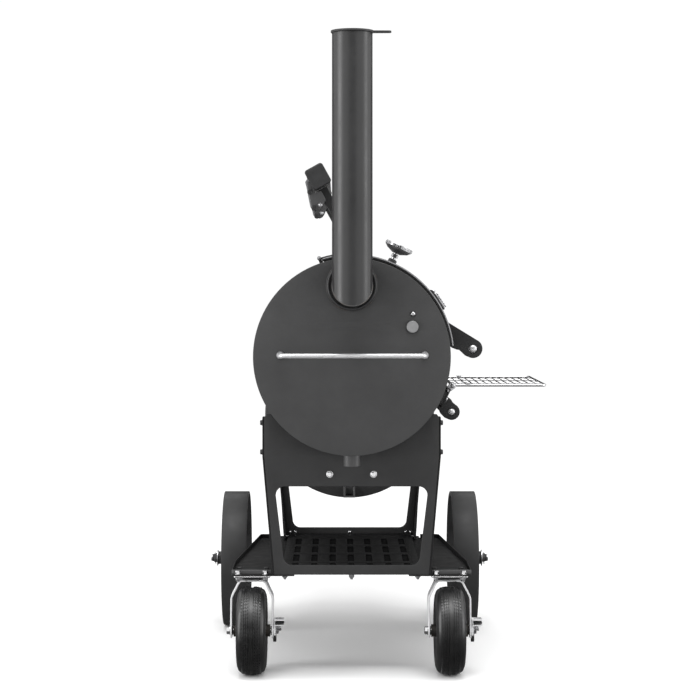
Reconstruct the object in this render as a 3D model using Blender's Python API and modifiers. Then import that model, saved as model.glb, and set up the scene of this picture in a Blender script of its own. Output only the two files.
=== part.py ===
"""Offset smoker on a wheeled cart, modelled in metres with +Z up.

Design axes: +X towards the operator's side, +Y from the stack end to the
firebox end, Z = 0 on the ground.  An empty at the top of the tree moves the
whole object so that the origin lies under the middle of its bounding box.
"""
import bmesh
import bpy
import math
from mathutils import Matrix, Vector

# ------------------------------------------------------------- dimensions --
GAP = 0.0003                 # space kept between touching pieces

DRUM_R = 0.254               # 20 in pipe, outside radius
WALL = 0.006                 # pipe and end plate thickness
DRUM_Z = 0.8375              # height of the chamber's axis
DRUM_L = 0.914               # chamber length, 36 in
BOX_Z = 0.631                # height of the firebox's axis
BOX_L = 0.508                # firebox length, 20 in
SEG = 40                     # facets round a pipe

STACK_R = 0.0508
STACK_WALL = 0.003
STACK_Y = -0.120
STACK_Z = 1.021              # height of the horizontal stub
STACK_TOP = 1.6535

LID_IN = 0.2590              # inside radius of a door's rolled plate
LID_T = 0.006
LID_A0 = -16.9               # door edges, degrees from the top towards +X
LID_A1 = 84.4
LID_Y0, LID_Y1 = 0.040, 0.872
BLID_Y0, BLID_Y1 = 0.952, 1.378
PIN_X, PIN_DZ = -0.085, 0.2545   # door hinge pin, from the pipe's axis
PIN_R = 0.0035
KNUCKLE_R = 0.0080

GRIP_X, GRIP_DZ = 0.321, 0.0162  # door handle bar, from the pipe's axis

FRAME_Y0, FRAME_Y1 = 0.100, 0.879
FRAME_T = 0.006
DECK_Z = 0.2673

CASTER_X, CASTER_Y = 0.2615, 0.160
CASTER_AXLE_Y, CASTER_AXLE_Z = 0.120, 0.1145
TYRE_R, TYRE_W = 0.1145, 0.078

WHEEL_R, WHEEL_X0, WHEEL_X1 = 0.199, 0.3025, 0.376
AXLE_Y, AXLE_Z, AXLE_R = 0.870, 0.199, 0.010

SHELF_X0, SHELF_X1 = 0.270, 0.522
SHELF_Y0, SHELF_Y1 = 0.200, 0.656
SHELF_Z = 0.754

FDOOR_Y = 1.4263             # outer face of the gasket under the fire door
CENTRE_X, CENTRE_Y = 0.052495, 0.685318   # middle of the bounding box

# -------------------------------------------------------------- clear out --
for old in list(bpy.data.objects):
    bpy.data.objects.remove(old, do_unlink=True)

scene = bpy.context.scene
parts = bpy.data.collections.new("offset_smoker")
cutters = bpy.data.collections.new("offset_smoker_cutters")
scene.collection.children.link(parts)
scene.collection.children.link(cutters)

top = bpy.data.objects.new("smoker_origin", None)
top.location = (-CENTRE_X, -CENTRE_Y, 0.0)
parts.objects.link(top)


def axis_empty(name, at, parent=top):
    """An empty on a joint's axis; at is in the design frame."""
    e = bpy.data.objects.new(name, None)
    e["at"] = at
    base = Vector(parent["at"]) if "at" in parent else Vector((0, 0, 0))
    e.location = Vector(at) - base
    e.parent = parent
    parts.objects.link(e)
    return e


# --------------------------------------------------------------- materials --
def material(name, color, rough, metal):
    m = bpy.data.materials.new(name)
    m.use_nodes = True
    b = m.node_tree.nodes["Principled BSDF"]
    b.inputs["Base Color"].default_value = (*color, 1.0)
    b.inputs["Roughness"].default_value = rough
    b.inputs["Metallic"].default_value = metal
    return m


PAINT = (0.060, 0.060, 0.062)
STYLES = {
    "paint": (PAINT, 0.55, 0.2),
    "frame": ((0.035, 0.035, 0.036), 0.55, 0.2),
    "chrome": ((0.62, 0.62, 0.63), 0.18, 1.0),
    "zinc": ((0.55, 0.55, 0.56), 0.32, 1.0),
    "steel": ((0.42, 0.42, 0.43), 0.35, 1.0),
    "iron": ((0.030, 0.029, 0.028), 0.75, 0.4),
    "tyre": ((0.018, 0.018, 0.018), 0.80, 0.0),
    "plastic": ((0.020, 0.020, 0.021), 0.45, 0.0),
    "gasket": ((0.045, 0.044, 0.042), 0.95, 0.0),
    "glass": ((0.70, 0.72, 0.72), 0.05, 0.0),
}


def add(name, data, style, holder=top, cutter=False):
    """Put a mesh or curve in the scene as one named piece."""
    ob = bpy.data.objects.new(name, data)
    if cutter:
        cutters.objects.link(ob)
        ob.hide_render = True
        ob.display_type = 'WIRE'
    else:
        parts.objects.link(ob)
        c, r, m = STYLES[style]
        ob.data.materials.append(material(name + "_finish", c, r, m))
    ob.parent = holder
    if "at" in holder:
        ob.matrix_parent_inverse = Matrix.Translation(-Vector(holder["at"]))
    return ob


def mesh_from(name, bm, smooth=None):
    me = bpy.data.meshes.new(name)
    bm.to_mesh(me)
    bm.free()
    if smooth is not None:
        me.shade_smooth()
        me.set_sharp_from_angle(angle=math.radians(smooth))
    return me


def box(name, lo, hi, style="paint", holder=top, cutter=False, turn=None):
    """A box between two corners, optionally turned about a point."""
    bm = bmesh.new()
    bmesh.ops.create_cube(bm, size=1.0)
    lo, hi = Vector(lo), Vector(hi)
    s = hi - lo
    bmesh.ops.scale(bm, vec=s, verts=bm.verts)
    bmesh.ops.translate(bm, vec=(lo + hi) / 2, verts=bm.verts)
    if turn:
        bm.transform(turn)
        if turn.determinant() < 0:
            bmesh.ops.reverse_faces(bm, faces=bm.faces)
    return add(name, mesh_from(name, bm), style, holder, cutter)


def rod(name, p0, p1, r, style="paint", holder=top, seg=24, r2=None,
        cutter=False):
    """A cylinder or cone between two points."""
    p0, p1 = Vector(p0), Vector(p1)
    d = p1 - p0
    bm = bmesh.new()
    bmesh.ops.create_cone(bm, cap_ends=True, cap_tris=False, segments=seg,
                          radius1=r, radius2=r if r2 is None else r2,
                          depth=d.length)
    rot = Vector((0, 0, 1)).rotation_difference(d.normalized())
    bm.transform(Matrix.Translation((p0 + p1) / 2) @ rot.to_matrix().to_4x4())
    return add(name, mesh_from(name, bm, 40), style, holder, cutter)


def turned(name, at, axis, profile, style="paint", holder=top, steps=32,
           closed=False, cutter=False, degrees=360.0):
    """A profile of (radius, height) run round an axis, outer side first."""
    me = bpy.data.meshes.new(name)
    n = len(profile)
    edges = [(i, i + 1) for i in range(n - 1)]
    if closed:
        edges.append((n - 1, 0))
    me.from_pydata([(r, 0.0, h) for r, h in profile], edges, [])
    ob = add(name, me, style, holder, cutter)
    rot = Vector((0, 0, 1)).rotation_difference(Vector(axis).normalized())
    me_rot = rot.to_matrix().to_4x4()
    ob.matrix_basis = Matrix.Translation(Vector(at)) @ me_rot
    m = ob.modifiers.new("turn", 'SCREW')
    m.axis = 'Z'
    m.angle = math.radians(degrees)
    m.steps = m.render_steps = steps
    m.use_merge_vertices = True
    m.merge_threshold = 0.00001
    m.use_smooth_shade = True
    return ob


def tube_path(name, pts, r, style="paint", holder=top, res=2, cyclic=False):
    """A round bar or tube along a path."""
    cu = bpy.data.curves.new(name, 'CURVE')
    cu.dimensions = '3D'
    sp = cu.splines.new('POLY')
    sp.points.add(len(pts) - 1)
    for p, q in zip(sp.points, pts):
        p.co = (*q, 1.0)
    sp.use_cyclic_u = cyclic
    cu.bevel_depth = r
    cu.bevel_resolution = res
    cu.use_fill_caps = True
    return add(name, cu, style, holder)


def flat(name, loops, plane, at, thick, style="paint", holder=top,
         cutter=False):
    """A flat plate: an outline and its holes, at is the plate's middle."""
    cu = bpy.data.curves.new(name, 'CURVE')
    cu.dimensions = '2D'
    cu.fill_mode = 'BOTH'
    cu.extrude = thick / 2
    for loop in loops:
        sp = cu.splines.new('POLY')
        sp.points.add(len(loop) - 1)
        for p, q in zip(sp.points, loop):
            p.co = (q[0], q[1], 0.0, 1.0)
        sp.use_cyclic_u = True
    rot = {
        'XZ': Matrix.Rotation(math.radians(90), 4, 'X'),
        'XY': Matrix.Identity(4),
        'YZ': Matrix.Rotation(math.radians(90), 4, 'Z') @
              Matrix.Rotation(math.radians(90), 4, 'X'),
    }[plane]
    shift = {'XZ': (0, at, 0), 'XY': (0, 0, at), 'YZ': (at, 0, 0)}[plane]
    tmp = bpy.data.objects.new(name + "_outline", cu)
    scene.collection.objects.link(tmp)
    tmp.matrix_basis = Matrix.Translation(shift) @ rot
    bpy.context.view_layer.update()
    me = bpy.data.meshes.new_from_object(
        tmp.evaluated_get(bpy.context.evaluated_depsgraph_get()))
    me.name = name
    me.transform(tmp.matrix_world)
    bpy.data.objects.remove(tmp, do_unlink=True)
    bm = bmesh.new()
    bm.from_mesh(me)
    bmesh.ops.remove_doubles(bm, verts=bm.verts, dist=0.00001)
    bmesh.ops.recalc_face_normals(bm, faces=bm.faces)
    bm.to_mesh(me)
    bm.free()
    return add(name, me, style, holder, cutter)


def loft(name, sections, style="paint", holder=top, cutter=False,
         smooth=None):
    """A closed skin through sections that have the same point count."""
    bm = bmesh.new()
    rows = [[bm.verts.new(p) for p in s] for s in sections]
    n = len(rows[0])
    for a, b in zip(rows, rows[1:]):
        for i in range(n):
            bm.faces.new((a[i], a[(i + 1) % n], b[(i + 1) % n], b[i]))
    bm.faces.new(rows[0])
    bm.faces.new(list(reversed(rows[-1])))
    bmesh.ops.recalc_face_normals(bm, faces=bm.faces)
    return add(name, mesh_from(name, bm, smooth), style, holder, cutter)


def sheet_arc(name, zc, r_in, thick, a0, a1, y0, y1, style="paint",
              holder=top, cutter=False, step=8.2):
    """A rolled plate about the axis (0, zc) that runs along Y."""
    n = max(2, round((a1 - a0) / step))
    bm = bmesh.new()
    rows = []
    for y in (y0, y1):
        rows.append([bm.verts.new((r_in * math.sin(math.radians(a)), y,
                                   zc + r_in * math.cos(math.radians(a))))
                     for a in (a0 + (a1 - a0) * i / n for i in range(n + 1))])
    for i in range(n):
        bm.faces.new((rows[0][i], rows[0][i + 1], rows[1][i + 1],
                      rows[1][i]))
    bm.normal_update()
    ob = add(name, mesh_from(name, bm, 40), style, holder, cutter)
    m = ob.modifiers.new("plate", 'SOLIDIFY')
    m.thickness = thick
    # the open sheet's faces point outwards, so the plate grows that way
    m.offset = 1.0
    m.use_even_offset = True
    return ob


def combine(ob, tool, how):
    m = ob.modifiers.new(how.lower(), 'BOOLEAN')
    m.operation = how
    m.object = tool
    m.solver = 'EXACT'
    return ob


def cut(ob, *tools):
    for t in tools:
        combine(ob, t, 'DIFFERENCE')
    return ob


def join(ob, *tools):
    for t in tools:
        combine(ob, t, 'UNION')
    return ob


def circle(cx, cy, r, n=32, a0=0.0, a1=360.0, ends=False):
    k = n if not ends else n + 1
    return [(cx + r * math.cos(math.radians(a0 + (a1 - a0) * i / n)),
             cy + r * math.sin(math.radians(a0 + (a1 - a0) * i / n)))
            for i in range(k)]


def rounded(x0, y0, x1, y1, r, n=4):
    out = []
    for cx, cy, a in ((x1 - r, y1 - r, 0), (x0 + r, y1 - r, 90),
                      (x0 + r, y0 + r, 180), (x1 - r, y0 + r, 270)):
        out += circle(cx, cy, r, n, a, a + 90, True)
    return out


def polar(zc, r, a):
    """Point in XZ at radius r, a degrees from the top towards +X."""
    return (r * math.sin(math.radians(a)), zc + r * math.cos(math.radians(a)))


# ------------------------------------------------------ cooking chamber ----
def pipe(name, zc, y0, y1):
    return turned(name, (0, y0, zc), (0, 1, 0),
                  [(DRUM_R, y1 - y0), (DRUM_R, 0), (DRUM_R - WALL, 0),
                   (DRUM_R - WALL, y1 - y0)], closed=True, steps=SEG)


def sector(name, zc, a0, a1, y0, y1):
    """Wedge that opens a pipe's wall between two angles."""
    n = 10
    ring = [polar(zc, 0.232, a0 + (a1 - a0) * i / n) for i in range(n + 1)]
    out = [polar(zc, 0.270, a1 - (a1 - a0) * i / n) for i in range(n + 1)]
    return flat(name, [ring + out], 'XZ', (y0 + y1) / 2, y1 - y0,
                cutter=True)


chamber = pipe("chamber_shell", DRUM_Z, WALL + GAP, DRUM_L - WALL - GAP)
cut(chamber,
    sector("chamber_mouth", DRUM_Z, -10.5, 78.5, 0.072, 0.840),
    rod("drain_hole", (0, 0.045, 0.56), (0, 0.045, 0.62), 0.0172, seg=20,
        cutter=True))

near = flat("chamber_end_plate",
            [circle(0, DRUM_Z, DRUM_R, SEG), circle(0, STACK_Z, 0.0512, 32),
             circle(0.1555, 0.915, 0.0088, 16)], 'XZ', WALL / 2, WALL)

# one plate closes the chamber and carries the firebox: two circles joined
r = DRUM_R
half = (DRUM_Z - BOX_Z) / 2
meet = math.degrees(math.acos(half / r))
upper = circle(0, DRUM_Z, r, 26, -90 + meet, 270 - meet, True)
lower = circle(0, BOX_Z, r, 26, 90 + meet, 450 - meet, True)
divider = flat("divider_plate", [upper + lower[1:-1],
                                 rounded(-0.12, 0.645, 0.12, 0.735, 0.03)],
               'XZ', DRUM_L - WALL / 2, WALL)

# ---------------------------------------------------------------- firebox --
BOX_Y0, BOX_Y1 = DRUM_L + GAP, DRUM_L + BOX_L - WALL - GAP
fire_shell = pipe("firebox_shell", BOX_Z, BOX_Y0, BOX_Y1)
cut(fire_shell,
    sector("firebox_mouth", BOX_Z, -10.5, 78.5, 0.984, 1.346))
fire_end = flat("firebox_end_plate",
                [circle(0, BOX_Z, DRUM_R, SEG),
                 rounded(-0.125, 0.500, 0.125, 0.730, 0.02)], 'XZ',
                DRUM_L + BOX_L - WALL / 2, WALL)

# ------------------------------------------------------------------ stack --
def stack_ring(kind, rr):
    pts = []
    for i in range(32):
        a = 2 * math.pi * i / 32
        x, d = rr * math.cos(a), rr * math.sin(a)
        if kind == 'top':
            pts.append((x, STACK_Y + d, STACK_TOP))
        elif kind == 'mitre':
            pts.append((x, STACK_Y + d, STACK_Z + d))
        else:
            pts.append((x, 0.030, STACK_Z + d))
    return pts


bm = bmesh.new()
rows = [[bm.verts.new(p) for p in stack_ring(k, STACK_R)]
        for k in ('top', 'mitre', 'end')]
for a, b in zip(rows, rows[1:]):
    for i in range(32):
        bm.faces.new((a[i], b[i], b[(i + 1) % 32], a[(i + 1) % 32]))
bmesh.ops.recalc_face_normals(bm, faces=bm.faces)
bm.normal_update()
# the faces must point away from the tube's axis before it is thickened
f = max(bm.faces, key=lambda q: q.calc_center_median().x)
if f.normal.x < 0:
    bmesh.ops.reverse_faces(bm, faces=bm.faces)
stack = add("stack_pipe", mesh_from("stack_pipe", bm, 40), "paint")
m = stack.modifiers.new("wall", 'SOLIDIFY')
m.thickness, m.offset, m.use_even_offset = STACK_WALL, -1.0, True

# welded ring round the stub
join(near, turned("stack_collar", (0, -0.013, STACK_Z), (0, 1, 0),
                  [(0.0640, 0.014), (0.0640, 0), (0.0575, 0),
                   (0.0575, 0.014)], closed=True, steps=28, cutter=True))

# rain cap that swivels about a pin on the far side of the stack
CAP_Y = STACK_Y + STACK_R + 0.0135
cap_axis = axis_empty("stack_damper_axis", (0, CAP_Y, STACK_TOP))
lug = box("stack_damper_lug", (-0.011, STACK_Y + STACK_R - 0.0020,
                               STACK_TOP - 0.034),
          (0.011, CAP_Y + 0.009, STACK_TOP - 0.0005), cutter=True)
join(stack, lug, rod("damper_pin_core", (0, CAP_Y, STACK_TOP - 0.010),
              (0, CAP_Y, STACK_TOP + 0.0105), 0.0035, cutter=True, seg=10),
     rod("damper_pin_head", (0, CAP_Y, STACK_TOP + 0.0064),
         (0, CAP_Y, STACK_TOP + 0.0115), 0.0068, cutter=True, seg=10))
cap_r = 0.054
a0 = math.degrees(math.asin(0.0100 / cap_r))
a1 = math.degrees(math.asin(0.0110 / cap_r))
outline = (circle(0, STACK_Y, cap_r, 10, a0, 90 - a1, True)
           + circle(0, CAP_Y, 0.011, 8, 0, 180, True)
           + circle(0, STACK_Y, cap_r, 30, 90 + a1, 360 - a0, True)
           + [(0.094, STACK_Y - 0.006), (0.098, STACK_Y - 0.002),
              (0.098, STACK_Y + 0.002), (0.094, STACK_Y + 0.006)])
flat("stack_damper", [outline, circle(0, CAP_Y, 0.0038, 16)], 'XY',
     STACK_TOP + 0.0003 + 0.00275, 0.0055, holder=cap_axis)

# ---------------------------------------------------- end plate fittings ---
HZ, HY = 0.842, -0.050
bend = 0.014
path = [(-0.184, -GAP, HZ)]
for i in range(5):
    a = math.radians(180 - 22.5 * i)
    path.append((-0.184 + bend + bend * math.cos(a),
                 HY + bend - bend * math.sin(a), HZ))
for i in range(5):
    a = math.radians(90 - 22.5 * i)
    path.append((0.187 - bend + bend * math.cos(a),
                 HY + bend - bend * math.sin(a), HZ))
path.append((0.187, -GAP, HZ))
tube_path("end_handle_bar", path, 0.006, "chrome")

join(near, turned("probe_bushing", (0.1555, 0, 0.915), (0, 1, 0),
                  [(0.0100, 0.014), (0.0100, 0.0010), (0.0178, 0.0010),
                   (0.0178, -0.0035), (0.0062, -0.0035),
                   (0.0062, 0.014)], closed=True, steps=14,
                  cutter=True))
plug_axis = axis_empty("probe_plug_axis", (0.1555, 0, 0.915))
turned("probe_plug", (0.1555, 0, 0.915), (0, -1, 0),
       [(0, 0.0078), (0.0155, 0.0078), (0.0160, 0.0070), (0.0160, 0.0038),
        (0.0056, 0.0038), (0.0056, -0.012), (0, -0.012)], "zinc", plug_axis,
       steps=12)
turned("plug_keeper_screw", (0.157, -GAP, 0.948), (0, -1, 0),
       [(0, 0.0060), (0.0035, 0.0055), (0.0058, 0.0035), (0.0065, 0.0012),
        (0.0090, 0.0012), (0.0090, 0), (0, 0)], "zinc", steps=12)

# drain nipple welded under the shell
join(chamber, turned("drain_nipple", (0, 0.045, 0.553), (0, 0, 1),
                     [(0.0218, 0.0335), (0.0218, 0), (0.0172, 0),
                      (0.0172, 0.0335)], closed=True, steps=20,
                     cutter=True))


# ------------------------------------------------------- doors and hinges --
def hinge(name, zc, y0, y1, skin, holder):
    """Two welded ears with a pin, and the door's knuckle between them."""
    door_name = name + "_knuckle"
    px, pz = PIN_X, zc + PIN_DZ
    ear = 0.022
    ax = (0, 1, 0)
    fixed = turned(name, (px, y0, pz), ax,
                   [(0, y1 - y0 + 0.003), (0.0050, y1 - y0 + 0.003),
                    (0.0050, y1 - y0), (KNUCKLE_R, y1 - y0),
                    (KNUCKLE_R, y1 - y0 - ear), (PIN_R, y1 - y0 - ear),
                    (PIN_R, ear), (KNUCKLE_R, ear), (KNUCKLE_R, 0),
                    (0.0050, 0), (0.0050, -0.003), (0, -0.003)], "frame",
                   steps=10)
    a_pin = math.degrees(math.atan2(px, PIN_DZ))
    for k, (ya, yb) in enumerate(((y0 + 0.001, y0 + ear - 0.001),
                                  (y1 - ear + 0.001, y1 - 0.001))):
        foot = sheet_arc(name + "_foot%d" % k, zc, DRUM_R + 0.0006, 0.0090,
                         a_pin - 4.6, a_pin - 0.2, ya, yb, cutter=True,
                         step=2.2)
        join(fixed, foot)
    ka, kb = y0 + ear + 0.0006, y1 - ear - 0.0006
    knuckle = turned(door_name, (px, ka, pz), ax,
                     [(KNUCKLE_R, kb - ka), (KNUCKLE_R, 0),
                      (PIN_R + 0.0003, 0), (PIN_R + 0.0003, kb - ka)],
                     "frame", holder, steps=10, closed=True, cutter=True)
    leaf = sheet_arc(door_name + "_leaf", zc, LID_IN + LID_T - 0.0012,
                     0.0055, a_pin + 1.0, a_pin + 14.5, ka + 0.0005,
                     kb - 0.0005, "frame", holder, cutter=True, step=3.4)
    join(skin, knuckle, leaf)
    return fixed


def door(prefix, zc, y0, y1, mouth, axis_holder):
    """Rolled door plate and the gasket frame under it."""
    skin = sheet_arc(prefix + "_skin", zc, LID_IN, LID_T, LID_A0, LID_A1,
                     y0, y1, holder=axis_holder, step=6.0)
    gasket = sheet_arc(prefix + "_gasket", zc, DRUM_R + 0.0010, 0.0034,
                       LID_A0 + 2.0, LID_A1 - 1.6, y0 + 0.008, y1 - 0.008,
                       "gasket", axis_holder, step=6.0)
    cut(gasket, sector(prefix + "_gasket_window", zc, -9.5, 77.5,
                       mouth[0] + 0.004, mouth[1] - 0.004))
    return skin, gasket


def grip_bracket(name, zc, y, holder, dx=0.0, dz=0.0):
    """Ear on a door's lower edge that carries the handle bar."""
    arc = [polar(zc, LID_IN + LID_T - 0.0020, a)
           for a in (84.0, 81.5, 79.0, 76.0, 73.0, 70.0)]
    gx, gz = GRIP_X + dx, zc + GRIP_DZ + dz
    end = circle(gx, gz, 0.025, 7, 62, -112, True)
    heel = [(gx - 0.0215, gz - 0.0180), (gx - 0.0350, gz - 0.0045),
            (0.2690, zc + 0.0185)]
    pts = arc + end + heel
    return flat(name, [pts, circle(gx, gz, 0.0101, 12)], 'XZ', y, 0.008,
                "frame", holder, cutter=True)


door_axis = axis_empty("chamber_door_axis", (PIN_X, 0, DRUM_Z + PIN_DZ))
lid_axis = axis_empty("firebox_lid_axis", (PIN_X, 0, BOX_Z + PIN_DZ))
skin, _ = door("chamber_door", DRUM_Z, LID_Y0, LID_Y1, (0.072, 0.840),
               door_axis)
THERMO_A, THERMO_Y = 25.0, 0.455
tx, tz = polar(DRUM_Z, 0.22, THERMO_A)
ux, uz = math.sin(math.radians(THERMO_A)), math.cos(math.radians(THERMO_A))
cut(skin, rod("thermometer_hole", (tx, THERMO_Y, tz),
              (tx + 0.1 * ux, THERMO_Y, tz + 0.1 * uz), 0.0075, seg=10,
              cutter=True))
lid, _ = door("firebox_lid", BOX_Z, BLID_Y0, BLID_Y1, (0.984, 1.346),
              lid_axis)

hinge("chamber_hinge_near", DRUM_Z, 0.120, 0.240, skin, door_axis)
hinge("chamber_hinge_far", DRUM_Z, 0.672, 0.792, skin, door_axis)
hinge("firebox_lid_hinge", BOX_Z, 1.085, 1.245, lid, lid_axis)

for tag, y in (("near", 0.150), ("far", 0.762)):
    join(skin, grip_bracket("door_handle_bracket_" + tag, DRUM_Z, y,
                            door_axis))
rod("door_handle_bar", (GRIP_X, 0.138, DRUM_Z + GRIP_DZ),
    (GRIP_X, 0.774, DRUM_Z + GRIP_DZ), 0.0095, "steel", door_axis, seg=12)
LX, LDZ = -0.007, -0.0172
for tag, y in (("near", 0.990), ("far", 1.340)):
    join(lid, grip_bracket("lid_handle_bracket_" + tag, BOX_Z, y, lid_axis,
                           LX, LDZ))
rod("lid_handle_bar", (GRIP_X + LX, 0.978, BOX_Z + GRIP_DZ + LDZ),
    (GRIP_X + LX, 1.352, BOX_Z + GRIP_DZ + LDZ), 0.0095, "steel", lid_axis,
    seg=12)

# thermometer: stem and hexagon, case, glass and pointer
R0 = LID_IN + LID_T
tc = Vector((0, THERMO_Y, DRUM_Z))
tu = Vector((ux, 0, uz))
turned("thermometer_case", tc + tu * (R0 + 0.0343), tu,
       [(0.0, 0.0140), (0.0356, 0.0140), (0.0356, 0.0260),
        (0.0395, 0.0260), (0.0395, 0.0170), (0.0300, 0.0080),
        (0.0120, 0.0), (0.0065, -0.0003), (0.0065, -0.0173),
        (0.0120, -0.0183), (0.0120, -0.0337), (0.0068, -0.0337),
        (0.0068, -0.1043), (0, -0.1043)], "chrome",
       door_axis, steps=16)
needle_at = tc + tu * (R0 + 0.0343 + 0.0140)
needle_axis = axis_empty("thermometer_needle_axis", tuple(needle_at),
                         door_axis)
side = Vector((uz, 0, -ux))
sec = []
for s, w in ((-0.010, 0.0016), (0.0, 0.0024), (0.027, 0.0006)):
    mid = needle_at + side * s
    sec.append([mid + Vector((0, w, 0)) + tu * 0.0015,
                mid + Vector((0, -w, 0)) + tu * 0.0015,
                mid + Vector((0, -w, 0)) + tu * 0.0030,
                mid + Vector((0, w, 0)) + tu * 0.0030])
loft("thermometer_needle", sec, "frame", needle_axis)
rod("thermometer_glass", needle_at + tu * 0.0070, needle_at + tu * 0.0090,
    0.0347, "glass", door_axis, seg=20)

# plain emblem plate with a raised panel
EA, EY = 57.0, 0.118
eu = Vector((math.sin(math.radians(EA)), 0, math.cos(math.radians(EA))))
es = Vector((eu.z, 0, -eu.x))
turn = Matrix.Translation(Vector((0, EY, DRUM_Z))) @ Matrix(
    ((es.x, 0, eu.x, 0), (0, 1, 0, 0), (es.z, 0, eu.z, 0), (0, 0, 0, 1)))
emblem = box("emblem_plate", (-0.0300, -0.050, R0 + 0.0004),
             (0.0300, 0.050, R0 + 0.0050), "frame", door_axis, turn=turn)
join(emblem, box("emblem_panel", (-0.0150, -0.038, R0 + 0.0040),
                 (0.0275, 0.038, R0 + 0.0125), cutter=True, turn=turn))

# counterweight: square tube with end caps on two channel brackets and arms
CWX, CWZ = -0.088, 1.3045
CW_Y0, CW_Y1 = 0.075, 0.837
cu_ = Vector((0.4848, 0, -0.8746))          # down the arm
cv_ = Vector((-0.8746, 0, -0.4848))         # out of the tube's lower left side
cw = Matrix(((cu_.x, 0, cv_.x, CWX), (0, 1, 0, 0), (cu_.z, 0, cv_.z, CWZ),
             (0, 0, 0, 1)))
HA, HB = 0.0270, 0.0245
tube = box("counterweight_tube", (-HA, CW_Y0, -HB), (HA, CW_Y1, HB), "frame",
           door_axis, turn=cw)
cut(tube, box("counterweight_bore", (-HA + 0.006, CW_Y0 - 0.01, -HB + 0.006),
              (HA - 0.006, CW_Y1 + 0.01, HB - 0.006), cutter=True, turn=cw))
for tag, ya, yb in (("near", CW_Y0 - 0.0053, CW_Y0 - GAP),
                    ("far", CW_Y1 + GAP, CW_Y1 + 0.0053)):
    box("counterweight_cap_" + tag, (-0.0290, ya, -0.0263),
        (0.0290, yb, 0.0263), "plastic", door_axis, turn=cw)
cyl_cut = rod("door_top_cut", (0, -0.1, DRUM_Z), (0, 1.1, DRUM_Z),
              R0 + 0.0012, seg=128, cutter=True)
# bracket under the tube's outer corner, in the plane across the tube
BASE = [(-0.0120, HB + GAP), (-0.0065, 0.0358), (0.0080, 0.0394),
        (0.0321, 0.0475), (0.0577, 0.0556), (0.0745, 0.0520)]
INNER = [(0.0735, 0.0470), (0.0560, 0.0504), (0.0300, 0.0420),
         (0.0060, 0.0342), (-0.0020, 0.0310), (-0.0020, HB + GAP)]
SIDE = [(-0.0040, HB + 0.0012), (-0.0040, 0.0325), (0.0060, 0.0360),
        (0.0300, 0.0440), (0.0570, 0.0520), (0.0720, 0.0490),
        (0.0762, 0.0430), (0.0762, 0.0340), (0.0720, 0.0260),
        (0.0600, 0.0100), (0.0330, 0.0100), (0.0330, HB + 0.0012)]


def tilted(name, loop, ya, yb):
    return loft(name, [[cw @ Vector((a, y, b)) for a, b in loop]
                       for y in (ya, yb)], cutter=True)


for tag, y in (("near", 0.150), ("far", 0.762)):
    br = loft("weight_bracket_" + tag,
              [[cw @ Vector((a, yy, b)) for a, b in BASE + INNER]
               for yy in (y - 0.0218, y + 0.0218)], "steel", door_axis)
    for k, (ya, yb) in enumerate(((y - 0.0220, y - 0.0180),
                                  (y + 0.0180, y + 0.0220))):
        join(br, tilted("weight_flange_%s%d" % (tag, k), SIDE, ya, yb))
    arm = box("weight_arm_" + tag, (0.0300, y - 0.0190, -0.0085),
              (0.290, y + 0.0190, 0.0165), cutter=True, turn=cw)
    join(br, arm)
    cut(br, cyl_cut)

# --------------------------------------------- fire door, damper and latch --
FY = DRUM_L + BOX_L
fdoor_axis = axis_empty("fire_door_axis", (-0.172, FY + 0.0165, 0.615))
fp = rounded(-0.150, 0.475, 0.150, 0.755, 0.025)
flat("fire_door_gasket", [rounded(-0.146, 0.479, 0.146, 0.751, 0.022),
                          rounded(-0.130, 0.495, 0.130, 0.735, 0.015)],
     'XZ', FY + 0.0025, 0.0038, "gasket", fdoor_axis)


def wedge_hole(cx, cz, r0, r1, a, half_w, n=4):
    return (circle(cx, cz, r1, n, a - half_w, a + half_w, True)
            + circle(cx, cz, r0, n, a + half_w, a - half_w, True))


DZ = 0.600
holes = [wedge_hole(0, DZ, 0.020, 0.062, a, 22) for a in (0, 90, 180, 270)]
fire_door = flat("fire_door", [fp] + holes + [circle(0, DZ, 0.0055, 16),
                                              circle(0.118, 0.655, 0.0063, 16)],
                 'XZ', FY + 0.0077, 0.006, "paint", fdoor_axis)
# hinge: two ears on the end plate hold the pin, two lugs on the door turn
for k, z in enumerate((0.535, 0.695)):
    lug_ = box("fire_lug%d" % k, (-0.172, FY + 0.0107 - 0.0035, z - 0.016),
               (-0.100, FY + 0.0107 + 0.0040, z + 0.016), cutter=True)
    knuck = rod("fire_knuckle%d" % k, (-0.172, FY + 0.0165, z - 0.0165),
                (-0.172, FY + 0.0165, z + 0.0165), 0.0085, cutter=True,
                seg=10)
    join(fire_door, lug_, knuck)
bore = rod("fire_pin_bore", (-0.172, FY + 0.0165, 0.45),
           (-0.172, FY + 0.0165, 0.80), 0.0038, cutter=True, seg=10)
cut(fire_door, bore)
fh = fire_end
join(fh, rod("fire_door_pin", (-0.172, FY + 0.0165, 0.500),
             (-0.172, FY + 0.0165, 0.730), 0.0035, cutter=True, seg=10))
for k, z in enumerate((0.5090, 0.5610, 0.6690, 0.7210)):
    ear_b = box("fire_ear%d" % k, (-0.176, FY - 0.0010, z - 0.0080),
                (-0.166, FY + 0.0165, z + 0.0080), cutter=True)
    ear_c = rod("fire_ear_eye%d" % k, (-0.172, FY + 0.0165, z - 0.0085),
                (-0.172, FY + 0.0165, z + 0.0085), 0.0080, cutter=True,
                seg=10)
    join(fh, ear_b, ear_c)

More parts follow.
